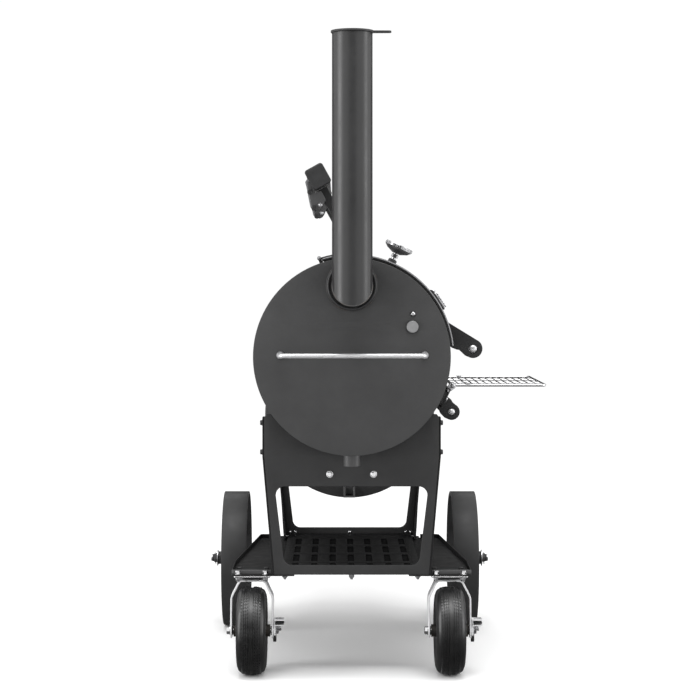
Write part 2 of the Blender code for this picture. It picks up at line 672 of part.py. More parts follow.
spin = axis_empty("air_damper_axis", (0, FY + 0.014, DZ), fdoor_axis)
damper_holes = [wedge_hole(0, DZ, 0.022, 0.060, a, 20)
                for a in (45, 135, 225, 315)]
tab = circle(0, DZ, 0.072, 28, 6, 354, True) + [
    (0.098, DZ - 0.0075), (0.104, DZ - 0.004), (0.104, DZ + 0.004),
    (0.098, DZ + 0.0075)]
flat("air_damper", [tab, circle(0, DZ, 0.0055, 16)] + damper_holes, 'XZ',
     FY + 0.0107 + GAP + 0.0015, 0.003, "steel", spin)
turned("air_damper_bolt", (0, FY, DZ), (0, 1, 0),
       [(0, 0.0215), (0.0070, 0.0205), (0.0100, 0.0145), (0.0050, 0.0145),
        (0.0050, 0.0005), (0, 0.0005)], "zinc", fdoor_axis, steps=12)

# draw-down lever on the door, hook under a keeper on the end plate
LZ, LXX = 0.655, 0.118
latch_axis = axis_empty("fire_latch_axis", (LXX, FY + 0.016, LZ), fdoor_axis)
lever = flat("fire_latch_lever",
             [circle(LXX, LZ, 0.0150, 12, 80, 260, True)
              + [(0.200, LZ - 0.0080), (0.206, LZ - 0.0040),
                 (0.206, LZ + 0.0050), (0.200, LZ + 0.0090)]],
             'XZ', FY + 0.0107 + GAP + 0.0025, 0.005, "frame", latch_axis)
join(lever, rod("lever_stem", (LXX, FY + 0.0030, LZ),
                (LXX, FY + 0.0300, LZ), 0.0060, cutter=True, seg=10),
     rod("lever_neck", (LXX, FY + 0.024, LZ), (LXX, FY + 0.060, LZ - 0.020),
         0.0050, cutter=True, seg=12))
d = Vector((0, 0.036, -0.020)).normalized()
p = Vector((LXX, FY + 0.060, LZ - 0.020))
join(lever, turned("latch_grip", p - d * 0.002, d,
                   [(0, 0.070), (0.010, 0.068), (0.0120, 0.060),
                    (0.0120, 0.004), (0.0100, 0), (0, 0)], steps=12,
                   cutter=True))
join(fire_end, box("fire_latch_keeper", (0.166, FY - 0.0010, LZ - 0.022),
                   (0.186, FY + 0.0240, LZ - 0.0130), cutter=True),
     box("keeper_hook", (0.1665, FY + 0.0188, LZ - 0.021),
         (0.1855, FY + 0.0235, LZ - 0.004), cutter=True))

# ------------------------------------------------------------ inside parts --
for tag, s in (("back", -1), ("front", 1)):
    x = s * 0.2255
    # ledge welded along the inside of the pipe
    x1 = s * 0.2445
    join(chamber, box("grate_ledge_" + tag, (min(x1, s * 0.2100), 0.030,
                                             DRUM_Z - 0.060),
                      (max(x1, s * 0.2100), 0.884, DRUM_Z - 0.057),
                      cutter=True))
grate_holes = []
NX, NY = 7, 3
gx0, gx1, gy0, gy1 = -0.205, 0.205, 0.052, 0.862
for i in range(NX):
    for j in range(NY):
        wx = (gx1 - gx0) / NX
        wy = (gy1 - gy0) / NY
        xa, ya = gx0 + i * wx + 0.003, gy0 + j * wy + 0.004
        grate_holes.append([(xa, ya), (xa + wx - 0.006, ya),
                            (xa + wx - 0.006, ya + wy - 0.008),
                            (xa, ya + wy - 0.008)])
flat("cooking_grate", [[(-0.2185, 0.040), (0.2185, 0.040),
                        (0.2185, 0.874), (-0.2185, 0.874)]] + grate_holes,
     'XY', DRUM_Z - 0.057 + GAP + 0.003, 0.006, "iron")

# plate that spreads the heat over the chamber's floor, resting on its edges
BX, BZ0 = 0.165, DRUM_Z - 0.180
flat("heat_baffle", [[(-BX, 0.620), (BX, 0.620), (BX, 0.900), (-BX, 0.900)],
                     circle(-0.08, 0.680, 0.012, 12),
                     circle(0.08, 0.680, 0.012, 12),
                     circle(0, 0.760, 0.012, 12)], 'XY', BZ0, 0.004, "iron")

fg_holes = []
for i in range(8):
    xa = -0.160 + i * 0.041
    for ya in (0.965, 1.150):
        fg_holes.append([(xa, ya), (xa + 0.026, ya), (xa + 0.026, ya + 0.160),
                         (xa, ya + 0.160)])
fire_grate = flat("fire_grate", [[(-0.178, 0.940), (0.178, 0.940), (0.178, 1.340),
                     (-0.178, 1.340)]] + fg_holes, 'XY', 0.4690, 0.008,
     "iron")
for tag, s in (("back", -1), ("front", 1)):
    x1 = s * 0.1860
    join(fire_shell, box("fire_ledge_" + tag, (min(x1, s * 0.1650), 0.935,
                                               0.4617),
                         (max(x1, s * 0.1650), 1.345, 0.4647), cutter=True))

# ------------------------------------------------------------ cart frames --
def leg_x(z, n):
    """Half width of a leg frame at a height; n makes it narrower."""
    if z >= 0.572:
        return 0.234 - n
    return 0.207 - n + (0.234 - 0.207) * (z - 0.263) / (0.572 - 0.263)


def leg_frame(name, y0, inward, nr=0.0):
    zt = 0.684
    xs = math.sqrt(0.2548 ** 2 - (DRUM_Z - zt) ** 2)
    a = math.degrees(math.asin(xs / 0.2548))
    n = 16
    saddle = [(0.2548 * math.sin(math.radians(-a + 2 * a * i / n)),
               DRUM_Z - 0.2548 * math.cos(math.radians(-a + 2 * a * i / n)))
              for i in range(n + 1)]
    right = [(0.226 - nr, zt), (0.234 - nr, zt - 0.008),
             (0.234 - nr, 0.572), (0.207 - nr, 0.263)]
    left = [(-x, z) for x, z in reversed(right)]
    outline = saddle + right + left
    wt, wb = 0.4946, 0.289
    window = []
    wa, wc = 0.1985 - nr * 0.7, 0.179 - nr * 0.7
    for cx, cz, a0_ in ((wa - 0.023, wt - 0.023, 0),
                        (-wa + 0.023, wt - 0.023, 90),
                        (-wc + 0.023, wb + 0.023, 180),
                        (wc - 0.023, wb + 0.023, 270)):
        window += circle(cx, cz, 0.023, 4, a0_, a0_ + 90, True)
    ob = flat(name, [outline, window,
                     circle(-0.0575, 0.5265, 0.0052, 12),
                     circle(0.0575, 0.5265, 0.0052, 12)],
              'XZ', y0 + FRAME_T / 2, FRAME_T, "frame")
    yb = y0 + FRAME_T / 2
    for s in (-1, 1):
        secs = []
        for z, dep in ((0.2635, 0.098), (0.300, 0.092), (0.375, 0.040),
                       (0.572, 0.034), (0.6700, 0.034), (0.6750, 0.030)):
            xo = s * (leg_x(z, nr) - 0.0004)
            xi = s * (leg_x(z, nr) - 0.0054)
            ye = yb + inward * dep
            secs.append([(xo, yb, z), (xi, yb, z), (xi, ye, z),
                         (xo, ye, z)])
        join(ob, loft("%s_side%d" % (name, s), secs, cutter=True))
    lo = (-0.180, min(yb, yb + inward * 0.035), 0.2634)
    hi = (0.180, max(yb, yb + inward * 0.035), 0.2670)
    join(ob, box(name + "_foot", lo, hi, cutter=True))
    return ob


leg_frame("leg_frame_near", FRAME_Y0, 1)
leg_frame("leg_frame_far", FRAME_Y1, -1, 0.011)
# slotted deck between the frames
slots = []
for i in range(7):
    for y in (0.200, 0.367, 0.534, 0.701):
        x = (i - 3) * 0.050
        slots.append([(x - 0.0088, y - 0.064), (x + 0.0088, y - 0.064),
                      (x + 0.0088, y + 0.064), (x - 0.0088, y + 0.064)])
deck = flat("deck_tray", [[(-0.184, FRAME_Y0 + FRAME_T + 0.0006),
                    (0.184, FRAME_Y0 + FRAME_T + 0.0006),
                    (0.184, FRAME_Y1 - 0.0006),
                    (-0.184, FRAME_Y1 - 0.0006)]] + slots, 'XY',
     DECK_Z + 0.0015 + GAP, 0.003, "frame")
# solid sheet under the slots that catches what falls through
join(deck, box("deck_pan", (-0.1765, 0.1420, 0.2648),
               (0.1765, 0.8370, 0.2680), cutter=True))

wings = {}
for tag, s in (("back", -1), ("front", 1)):
    pts = [(0.150, 0.100), (0.315, 0.100), (0.315, 0.290), (0.267, 0.847),
           (0.2085, 0.847), (0.2085, 0.885), (0.150, 0.885)]
    pts = [(s * x, y) for x, y in pts]
    w = flat("wing_" + tag, [pts], 'XY', 0.26115, 0.0030, "frame")
    wings[tag] = w
    x0, x1 = sorted((s * 0.2110, s * 0.3146))
    join(w, box("wing_lip_" + tag, (x0, 0.1200, 0.2620),
                (x1, 0.1230, 0.2735), cutter=True))
    out = [(0.3147, 0.1205), (0.3147, 0.2900), (0.2667, 0.8467),
           (0.2110, 0.8467), (0.2110, 0.8440), (0.2642, 0.8440),
           (0.3120, 0.2897), (0.3120, 0.1205)]
    join(w, loft("wing_rim_" + tag, [[(s * x, y, z) for x, y in out]
                                     for z in (0.2612, 0.2733)],
                 cutter=True))

# -------------------------------------------------- rear axle and wheels ---
rod("rear_axle", (-0.4165, AXLE_Y, AXLE_Z), (0.4165, AXLE_Y, AXLE_Z),
    AXLE_R, "steel", seg=24)
for tag, s in (("back", -1), ("front", 1)):
    x = s * 0.176
    hang = flat("axle_hanger_" + tag,
                [circle(AXLE_Y, AXLE_Z, 0.022, 8, 180, 360, True)
                 + [(AXLE_Y + 0.0140, 0.2610), (AXLE_Y - 0.0300, 0.2610)],
                 circle(AXLE_Y, AXLE_Z, AXLE_R + 0.0004, 24)],
                'YZ', x, 0.010, cutter=True)
    join(wings[tag], hang)

    wa = axis_empty("rear_wheel_%s_axis" % tag, (s * 0.339, AXLE_Y, AXLE_Z))
    W = WHEEL_X1 - WHEEL_X0
    xa = min(s * WHEEL_X0, s * WHEEL_X1)
    wheel = turned("rear_wheel_" + tag, (xa, AXLE_Y, AXLE_Z), (1, 0, 0),
                   [(WHEEL_R, W), (WHEEL_R, 0), (WHEEL_R - 0.008, 0),
                    (WHEEL_R - 0.008, W)], "paint", wa, closed=True,
                   steps=40)
    hub_a, hub_b = sorted((s * 0.286, s * 0.395))
    hub = rod("rear_hub_" + tag, (hub_a, AXLE_Y, AXLE_Z),
              (hub_b, AXLE_Y, AXLE_Z), 0.019, cutter=True, seg=10)
    join(wheel, hub)
    for k in range(4):
        a = k * 45
        sp = box("rear_spoke_%s%d" % (tag, k),
                 (s * 0.339 - 0.0045, -0.0175, -(WHEEL_R - 0.004)),
                 (s * 0.339 + 0.0045, 0.0175, WHEEL_R - 0.004), cutter=True,
                 turn=Matrix.Translation((0, AXLE_Y, AXLE_Z))
                 @ Matrix.Rotation(math.radians(a + 22.5), 4, 'X'))
        join(wheel, sp)
    cut(wheel, rod("rear_bore_" + tag, (hub_a - 0.01, AXLE_Y, AXLE_Z),
                   (hub_b + 0.01, AXLE_Y, AXLE_Z), AXLE_R + 0.0004,
                   cutter=True, seg=24))
    cap = rod("axle_cap_" + tag, (s * 0.3985, AXLE_Y, AXLE_Z),
              (s * 0.4110, AXLE_Y, AXLE_Z), 0.0140, "zinc", seg=6)
    cut(cap, rod("axle_cap_bore_" + tag, (s * 0.39, AXLE_Y, AXLE_Z),
                 (s * 0.42, AXLE_Y, AXLE_Z), AXLE_R + 0.0003, cutter=True,
                 seg=24))

# ---------------------------------------------------------------- casters --
for tag, s in (("back", -1), ("front", 1)):
    cx = s * CASTER_X - (0.004 if s > 0 else 0.0)
    plate = box("caster_plate_" + tag, (cx - 0.048, 0.100, 0.2552),
                (cx + 0.048, 0.214, 0.2593), "zinc")
    join(plate, turned("caster_race_" + tag, (cx, CASTER_Y, 0.2470),
                       (0, 0, 1),
                       [(0, 0.0100), (0.0380, 0.0100), (0.0330, 0),
                        (0, 0)], cutter=True, steps=24))
    cut(plate, rod("caster_kingbore_" + tag, (cx, CASTER_Y, 0.23),
                   (cx, CASTER_Y, 0.2565), 0.0090, cutter=True, seg=16))
    sw = axis_empty("caster_swivel_%s_axis" % tag, (cx, CASTER_Y, 0.25))
    fork = turned("caster_fork_" + tag, (cx, CASTER_Y, 0.2385), (0, 0, 1),
                  [(0, 0.0150), (0.0080, 0.0150), (0.0080, 0.0082),
                   (0.0320, 0.0082), (0.0350, 0.0020), (0.0320, 0),
                   (0, 0)], "chrome", sw, steps=24)
    for k in (-1, 1):
        secs = []
        for x, z, yc, hw in ((0.020, 0.2410, 0.155, 0.030),
                             (0.0325, 0.2385, 0.152, 0.030),
                             (0.0516, 0.2020, 0.142, 0.0275),
                             (0.0520, 0.1500, 0.130, 0.022),
                             (0.0520, 0.1145, 0.120, 0.020),
                             (0.0520, 0.0960, 0.120, 0.014)):
            t = 0.0048
            nx, nz = (0, 1) if x < 0.030 else (0.7, 0.5) if z > 0.225 \
                else (0.95, 0.25) if z > 0.2 else (1, 0)
            pi = (cx + k * x, z)
            po = (cx + k * (x + t * nx), z + t * nz)
            secs.append([(pi[0], yc - hw, pi[1]), (pi[0], yc + hw, pi[1]),
                         (po[0], yc + hw, po[1]), (po[0], yc - hw, po[1])])
        join(fork, loft("fork_leg_%s%d" % (tag, k), secs, cutter=True))
    cut(fork, rod("fork_bore_" + tag,
                  (cx - 0.08, CASTER_AXLE_Y, CASTER_AXLE_Z),
                  (cx + 0.08, CASTER_AXLE_Y, CASTER_AXLE_Z), 0.0064,
                  cutter=True, seg=10))
    turned("caster_axle_" + tag, (cx - 0.0668, CASTER_AXLE_Y, CASTER_AXLE_Z),
           (1, 0, 0),
           [(0, 0.1360), (0.0060, 0.1360), (0.0060, 0.0093),
            (0.0095, 0.0093), (0.0095, 0), (0, 0)],
           "zinc", sw, steps=12)
    ax = axis_empty("caster_wheel_%s_axis" % tag,
                    (cx, CASTER_AXLE_Y, CASTER_AXLE_Z), sw)
    hw = TYRE_W / 2
    prof = [(0.0560, hw - 0.010), (0.0800, hw), (0.0990, hw - 0.0035),
            (0.1080, hw - 0.0100), (0.1120, hw - 0.0200), (0.1145, 0.0),
            (0.1120, -hw + 0.0200), (0.1080, -hw + 0.0100),
            (0.0990, -hw + 0.0035), (0.0800, -hw), (0.0560, -hw + 0.010)]
    turned("caster_tyre_" + tag, (cx, CASTER_AXLE_Y, CASTER_AXLE_Z),
           (1, 0, 0), prof, "tyre", ax, closed=True, steps=32)
    turned("caster_hub_" + tag, (cx, CASTER_AXLE_Y, CASTER_AXLE_Z),
           (1, 0, 0),
           [(0.0540, 0.0270), (0.0540, -0.0270), (0.0470, -0.0120),
            (0.0160, -0.0120), (0.0160, -0.0490), (0.0066, -0.0490),
            (0.0066, 0.0490), (0.0160, 0.0490), (0.0160, 0.0120),
            (0.0470, 0.0120)],
           "iron", ax, closed=True, steps=16)
    br = axis_empty("caster_brake_%s_axis" % tag,
                    (cx + 0.060, CASTER_AXLE_Y, CASTER_AXLE_Z), sw)
    lv = flat("caster_brake_" + tag,
              [circle(CASTER_AXLE_Y, CASTER_AXLE_Z, 0.0150, 14, 75, 335,
                      True)
               + [(0.164, 0.103), (0.167, 0.112), (0.150, 0.126)]
               + [(CASTER_AXLE_Y + 0.010, 0.1350)],
               circle(CASTER_AXLE_Y, CASTER_AXLE_Z, 0.0064, 16)],
              'YZ', cx + 0.0600, 0.0050, "zinc", br)
    join(lv, box("brake_tread_" + tag, (cx + 0.0580, 0.098, 0.1433),
                 (cx + 0.0850, 0.134, 0.1463), cutter=True),
         box("brake_lip_" + tag, (cx + 0.0584, 0.100, 0.1292),
             (cx + 0.0846, 0.1338, 0.1320), cutter=True),
         box("brake_web_" + tag, (cx + 0.0588, 0.1290, 0.1300),
             (cx + 0.0842, 0.1330, 0.1450), cutter=True),
         box("brake_neck_" + tag, (cx + 0.0576, 0.1060, 0.1230),
             (cx + 0.0622, 0.1310, 0.1455), cutter=True))

# ------------------------------------------------------- shelf and rail ----
# flat bar along the chamber's front with an upturned hook for the shelf
ra = 115.5
ru = Vector((math.sin(math.radians(ra)), 0, math.cos(math.radians(ra))))
rs = Vector((ru.z, 0, -ru.x))
rt = Matrix.Translation(Vector((0, 0, DRUM_Z))) @ Matrix(
    ((rs.x, 0, ru.x, 0), (0, 1, 0, 0), (rs.z, 0, ru.z, 0), (0, 0, 0, 1)))
rail = box("shelf_rail", (-0.0300, 0.190, 0.2705), (0.0300, 0.666, 0.2803),
           "frame", turn=rt)
cut(rail, box("shelf_rail_hollow", (-0.0260, 0.180, 0.2600),
              (0.0260, 0.676, 0.2763), cutter=True, turn=rt))
for k, y in enumerate((0.205, 0.428, 0.651)):
    post = box("shelf_post%d" % k, (-0.0180, y - 0.012, 0.2460),
               (0.0180, y + 0.012, 0.2775), cutter=True, turn=rt)
    cut(post, rod("shelf_post_cut%d" % k, (0, 0.1, DRUM_Z),
                  (0, 0.8, DRUM_Z), DRUM_R + 0.0005, seg=128, cutter=True))
    join(rail, post)
for k, (ya, yb) in enumerate(((0.1905, 0.1945), (0.6615, 0.6655))):
    join(rail, loft("shelf_ear%d" % k, [
        [(0.2560, y, 0.7350), (0.2670, y, 0.7400), (0.2775, y, 0.7480),
         (0.2790, y, 0.7590), (0.2700, y, 0.7640), (0.2600, y, 0.7590),
         (0.2545, y, 0.7440)]
        for y in (ya, yb)], cutter=True))
cut(rail, rod("shelf_pin_bore", (0.2700, 0.15, SHELF_Z),
              (0.2700, 0.70, SHELF_Z), 0.0044, cutter=True, seg=12))

shelf_axis = axis_empty("shelf_axis", (0.2700, 0, SHELF_Z))
FR = 0.0038


def bar(name, p0, p1, rr, cutter=True):
    return rod(name, p0, p1, rr, "chrome", shelf_axis, seg=6, cutter=cutter)


shelf = bar("wire_shelf", (0.2700, 0.1880, SHELF_Z), (0.2700, 0.6680,
                                                    SHELF_Z), FR, False)
join(shelf,
     bar("shelf_edge_out", (SHELF_X1 - FR, SHELF_Y0 - 0.001, SHELF_Z),
         (SHELF_X1 - FR, SHELF_Y1 + 0.001, SHELF_Z), FR))
for k, y in enumerate((SHELF_Y0 + FR, SHELF_Y1 - FR)):
    join(shelf, bar("shelf_end%d" % k, (0.2695, y, SHELF_Z + 0.0002),
                    (SHELF_X1 - FR + 0.0005, y, SHELF_Z + 0.0002),
                    FR - 0.0003))
for k in range(12):
    x = 0.2700 + (SHELF_X1 - FR - 0.2700) * (k + 1) / 13
    join(shelf, bar("shelf_wire%d" % k, (x, SHELF_Y0 + 0.002, SHELF_Z + 0.003),
                    (x, SHELF_Y1 - 0.002, SHELF_Z + 0.003), 0.0019))
for k in range(2):
    y = SHELF_Y0 + (SHELF_Y1 - SHELF_Y0) * (k + 1) / 3
    join(shelf, bar("shelf_cross%d" % k, (0.2703, y, SHELF_Z - 0.0005),
                    (SHELF_X1 - FR, y, SHELF_Z - 0.0005), 0.0024))

# lug under the divider plate that ties the firebox to the cart
join(divider, box("firebox_lug", (-0.0185, 0.866, 0.3800),
                  (0.0165, 0.9090, 0.4120), cutter=True))
cut(divider, box("lug_slot", (-0.0125, 0.860, 0.3850),
                 (0.0105, 0.9000, 0.4200), cutter=True))
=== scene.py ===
import math
import random

import bmesh
import bpy
from mathutils import Matrix, Vector


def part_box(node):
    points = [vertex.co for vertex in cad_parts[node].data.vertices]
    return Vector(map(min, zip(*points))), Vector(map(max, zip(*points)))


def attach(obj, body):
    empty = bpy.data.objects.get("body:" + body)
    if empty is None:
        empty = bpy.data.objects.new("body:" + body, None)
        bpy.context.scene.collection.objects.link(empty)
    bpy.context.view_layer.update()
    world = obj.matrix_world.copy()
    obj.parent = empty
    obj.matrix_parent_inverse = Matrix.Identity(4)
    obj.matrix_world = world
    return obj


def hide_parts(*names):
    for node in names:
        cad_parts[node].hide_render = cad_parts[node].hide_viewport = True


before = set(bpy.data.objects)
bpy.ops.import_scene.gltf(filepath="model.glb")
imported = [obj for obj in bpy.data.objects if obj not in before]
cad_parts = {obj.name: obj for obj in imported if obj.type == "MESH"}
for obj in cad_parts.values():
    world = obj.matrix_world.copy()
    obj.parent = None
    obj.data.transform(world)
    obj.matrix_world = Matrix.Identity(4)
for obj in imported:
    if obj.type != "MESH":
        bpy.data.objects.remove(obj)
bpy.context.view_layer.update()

# The design frame has X = 0 on the pipes' axis and Y = 0 on the end plate's
# outer face. The rear axle (X 0, Y 0.870) says where that lies in the model.
_lo, _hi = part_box("rear_axle")
SHIFT = Vector(((_lo[0] + _hi[0]) / 2, (_lo[1] + _hi[1]) / 2 - 0.870, 0.0))

DRUM_R, WALL, DRUM_Z, DRUM_L = 0.254, 0.006, 0.8375, 0.914
BOX_Z, BOX_L = 0.631, 0.508
FY = DRUM_L + BOX_L
STACK_R, STACK_Y, STACK_Z, STACK_TOP = 0.0508, -0.120, 1.021, 1.6535
LID_IN, LID_T = 0.2590, 0.006
R0 = LID_IN + LID_T
LID_A0, LID_A1 = -16.9, 84.4
PIN_X, PIN_DZ = -0.085, 0.2545
GRIP_X, GRIP_DZ = 0.321, 0.0162
AXLE_Y, AXLE_Z = 0.870, 0.199
CASTER_X, CASTER_Y = 0.2615, 0.160
CAX_Y, CAX_Z = 0.120, 0.1145
SHELF_Z = 0.754
rng = random.Random(7)


# ------------------------------------------------------------- materials ---
class Tree:
    """Small helper that builds a procedural material's nodes."""

    def __init__(self, name):
        self.m = bpy.data.materials.new(name)
        self.m.use_nodes = True
        self.t = self.m.node_tree
        self.b = self.t.nodes["Principled BSDF"]
        self.co = self.t.nodes.new("ShaderNodeTexCoord").outputs["Object"]

    def node(self, kind, **sets):
        n = self.t.nodes.new(kind)
        for k, v in sets.items():
            setattr(n, k, v)
        return n

    def noise(self, scale, detail=3.0, rough=0.55, stretch=None):
        n = self.node("ShaderNodeTexNoise")
        n.inputs["Scale"].default_value = scale
        n.inputs["Detail"].default_value = detail
        n.inputs["Roughness"].default_value = rough
        src = self.co
        if stretch:
            mp = self.node("ShaderNodeMapping")
            mp.inputs["Scale"].default_value = stretch
            self.t.links.new(self.co, mp.inputs["Vector"])
            src = mp.outputs["Vector"]
        self.t.links.new(src, n.inputs["Vector"])
        return n.outputs["Fac"]

    def ramp(self, src, a, b, lo=0.0, hi=1.0):
        n = self.node("ShaderNodeMapRange")
        n.clamp = True
        n.inputs["From Min"].default_value = lo
        n.inputs["From Max"].default_value = hi
        n.inputs["To Min"].default_value = a
        n.inputs["To Max"].default_value = b
        self.t.links.new(src, n.inputs["Value"])
        return n.outputs["Result"]

    def mix(self, fac, c1, c2):
        n = self.node("ShaderNodeMix", data_type='RGBA')
        self.t.links.new(fac, n.inputs[0])
        for i, c in ((6, c1), (7, c2)):
            if isinstance(c, tuple):
                n.inputs[i].default_value = (*c, 1.0)
            else:
                self.t.links.new(c, n.inputs[i])
        return n.outputs[2]

    def bump(self, src, strength, dist, under=None):
        n = self.node("ShaderNodeBump")
        n.inputs["Strength"].default_value = strength
        n.inputs["Distance"].default_value = dist
        self.t.links.new(src, n.inputs["Height"])
        if under is not None:
            self.t.links.new(under, n.inputs["Normal"])
        return n.outputs["Normal"]

    def put(self, socket, src):
        if isinstance(src, (int, float)):
            self.b.inputs[socket].default_value = src
        elif isinstance(src, tuple):
            self.b.inputs[socket].default_value = (*src, 1.0)
        else:
            self.t.links.new(src, self.b.inputs[socket])


def powder(name, color, rough, peel=0.25, spec=0.5):
    """Powder coat: fine orange peel, faint mottling, rubbed edges."""
    t = Tree(name)
    lo = tuple(c * 0.86 for c in color)
    hi = tuple(min(1.0, c * 1.16) for c in color)
    base = t.mix(t.ramp(t.noise(7.0, 5.0, 0.6), 0, 1, 0.3, 0.7), lo, hi)
    worn = tuple(min(1.0, c * 1.9 + 0.015) for c in color)
    edge = t.node("ShaderNodeNewGeometry").outputs["Pointiness"]
    wear = t.ramp(edge, 0.0, 0.55, 0.535, 0.62)
    t.put("Base Color", t.mix(wear, base, worn))
    t.put("Roughness", t.ramp(t.noise(30.0, 4.0, 0.6), rough - 0.05,
                              rough + 0.07, 0.3, 0.7))
    t.put("Metallic", 0.0)
    t.put("Specular IOR Level", spec)
    n1 = t.bump(t.noise(1100.0, 2.0, 0.5), peel, 0.00012)
    n2 = t.bump(t.noise(240.0, 3.0, 0.5), peel * 0.6, 0.0002, n1)
    t.put("Normal", n2)
    return t.m


def metal(name, color, rough, spread=0.06, grain=None, bump=0.06, metallic=1.0,
          dark=0.75):
    """Bright metal: brushed or mottled, with smudges in its gloss."""
    t = Tree(name)
    lo = tuple(c * dark for c in color)
    base = t.mix(t.ramp(t.noise(60.0, 5.0, 0.65), 0, 1, 0.3, 0.72), lo, color)
    t.put("Base Color", base)
    t.put("Metallic", metallic)
    src = t.noise(420.0, 3.0, 0.6, grain) if grain else t.noise(90.0, 5.0, 0.6)
    t.put("Roughness", t.ramp(src, max(0.03, rough - spread), rough + spread,
                              0.3, 0.7))
    t.put("Normal", t.bump(t.noise(900.0, 2.0, 0.5, grain), bump, 0.0001))
    return t.m


def rubber(name, color, rough, spec=0.45):
    t = Tree(name)
    lo = tuple(c * 0.75 for c in color)
    hi = tuple(c * 1.5 + 0.004 for c in color)
    t.put("Base Color", t.mix(t.ramp(t.noise(22.0, 6.0, 0.6), 0, 1, 0.35, 0.7),
                              lo, hi))
    t.put("Roughness", t.ramp(t.noise(50.0, 4.0, 0.6), rough - 0.08,
                              rough + 0.08, 0.3, 0.7))
    t.put("Specular IOR Level", spec)
    t.put("Normal", t.bump(t.noise(1500.0, 2.0, 0.6), 0.3, 0.0001))
    return t.m


def iron(name, color, rough):
    t = Tree(name)
    rust = (color[0] * 1.9, color[1] * 1.45, color[2] * 1.1)
    t.put("Base Color", t.mix(t.ramp(t.noise(34.0, 6.0, 0.7), 0, 1, 0.45, 0.75),
                              color, rust))
    t.put("Metallic", 0.35)
    t.put("Roughness", t.ramp(t.noise(80.0, 5.0, 0.6), rough - 0.12,
                              rough + 0.1, 0.3, 0.7))
    t.put("Normal", t.bump(t.noise(500.0, 4.0, 0.65), 0.5, 0.0004))
    return t.m


def rope(name):
    """Woven fibre seal: crossed strands."""
    t = Tree(name)
    w1 = t.node("ShaderNodeTexWave", wave_type='BANDS', bands_direction='DIAGONAL')
    w1.inputs["Scale"].default_value = 190.0
    w1.inputs["Distortion"].default_value = 1.2
    t.t.links.new(t.co, w1.inputs["Vector"])
    t.put("Base Color", t.mix(w1.outputs["Fac"], (0.03, 0.03, 0.03),
                              (0.085, 0.083, 0.08)))
    t.put("Roughness", t.ramp(t.noise(200.0), 0.85, 0.98, 0.3, 0.7))
    t.put("Normal", t.bump(w1.outputs["Fac"], 0.6, 0.0006))
    return t.m


def clear(name):
    t = Tree(name)
    t.put("Base Color", (0.93, 0.95, 0.95))
    t.put("Roughness", t.ramp(t.noise(40.0), 0.02, 0.06, 0.3, 0.7))
    t.put("Transmission Weight", 1.0)
    t.put("IOR", 1.45)
    return t.m


def painted(name, color, rough):
    t = Tree(name)
    hi = tuple(min(1.0, c * 1.06) for c in color)
    t.put("Base Color", t.mix(t.noise(60.0, 4.0), color, hi))
    t.put("Roughness", t.ramp(t.noise(120.0), rough - 0.05, rough + 0.05,
                              0.3, 0.7))
    return t.m


M = {
    "coat": powder("coat_charcoal", (0.034, 0.034, 0.0345), 0.44, 0.22),
    "coat_plate": powder("coat_end_plate", (0.036, 0.036, 0.0365), 0.50, 0.22,
                         0.4),
    "stack": powder("coat_stack", (0.021, 0.021, 0.0214), 0.33, 0.20),
    "frame": powder("coat_frame", (0.026, 0.026, 0.0264), 0.52, 0.25, 0.35),
    "deck": powder("coat_deck", (0.0095, 0.0095, 0.0097), 0.58, 0.25, 0.16),
    "dark": powder("coat_black", (0.017, 0.017, 0.0175), 0.42, 0.20, 0.35),
    "wheel": powder("coat_wheel", (0.023, 0.023, 0.0234), 0.46, 0.30, 0.4),
    "bracket": powder("coat_bracket", (0.062, 0.062, 0.063), 0.40, 0.20),
    "chrome": metal("chrome_bright", (0.86, 0.86, 0.87), 0.13, 0.04, None,
                    0.03, 1.0, 0.93),
    "plated": metal("zinc_satin", (0.84, 0.84, 0.85), 0.50, 0.08, None, 0.06,
                    0.35, 0.90),
    # bright grey metal for the strips on the doors' end faces: a painted highlight
    # line along each edge
    "edge": metal("edge_painted_highlight", (0.42, 0.42, 0.43), 0.48, 0.08, None, 0.06,
                  0.30, 0.80),
    "weight": powder("coat_weight", (0.0105, 0.0105, 0.0108), 0.46, 0.20,
                     0.30),
    # near-black and almost without gloss: painted shade seen through the deck's
    # slots
    "pan": powder("coat_pan_painted_shade", (0.0014, 0.0014, 0.0015), 0.85, 0.10, 0.05),
    "galv": metal("zinc_spangle", (0.36, 0.36, 0.37), 0.42, 0.08, None, 0.12,
                  0.75, 0.70),
    "zinc": metal("zinc_plate", (0.70, 0.70, 0.715), 0.30, 0.08, None, 0.10,
                  1.0, 0.82),
    "steel": metal("steel_brushed", (0.66, 0.66, 0.67), 0.24, 0.07,
                   (1, 0.05, 1), 0.12, 1.0, 0.88),
    "handle": metal("steel_polished", (0.76, 0.76, 0.77), 0.30, 0.06,
                    (0.05, 1, 1), 0.08, 0.70, 0.9),
    "plug": metal("plug_grey", (0.34, 0.34, 0.345), 0.42, 0.08, None, 0.1,
                  0.6, 0.85),
    "iron": iron("iron_seasoned", (0.026, 0.024, 0.022), 0.62),
    "weld": iron("weld_coated", (0.040, 0.040, 0.041), 0.50),
    "tyre": rubber("tyre_rubber", (0.0044, 0.0044, 0.0046), 0.37, 0.85),
    "plastic": rubber("cap_plastic", (0.024, 0.024, 0.0245), 0.45),
    "gun": metal("case_nickel", (0.52, 0.52, 0.53), 0.11, 0.04, None, 0.05,
                 1.0, 0.85),
    "rope": rope("rope_seal"),
    "glass": clear("dial_glass"),
    "dial": painted("dial_face", (0.62, 0.62, 0.60), 0.45),
    "ink": painted("dial_ink", (0.015, 0.015, 0.016), 0.5),
    "red": painted("dial_band", (0.35, 0.03, 0.02), 0.5),
}


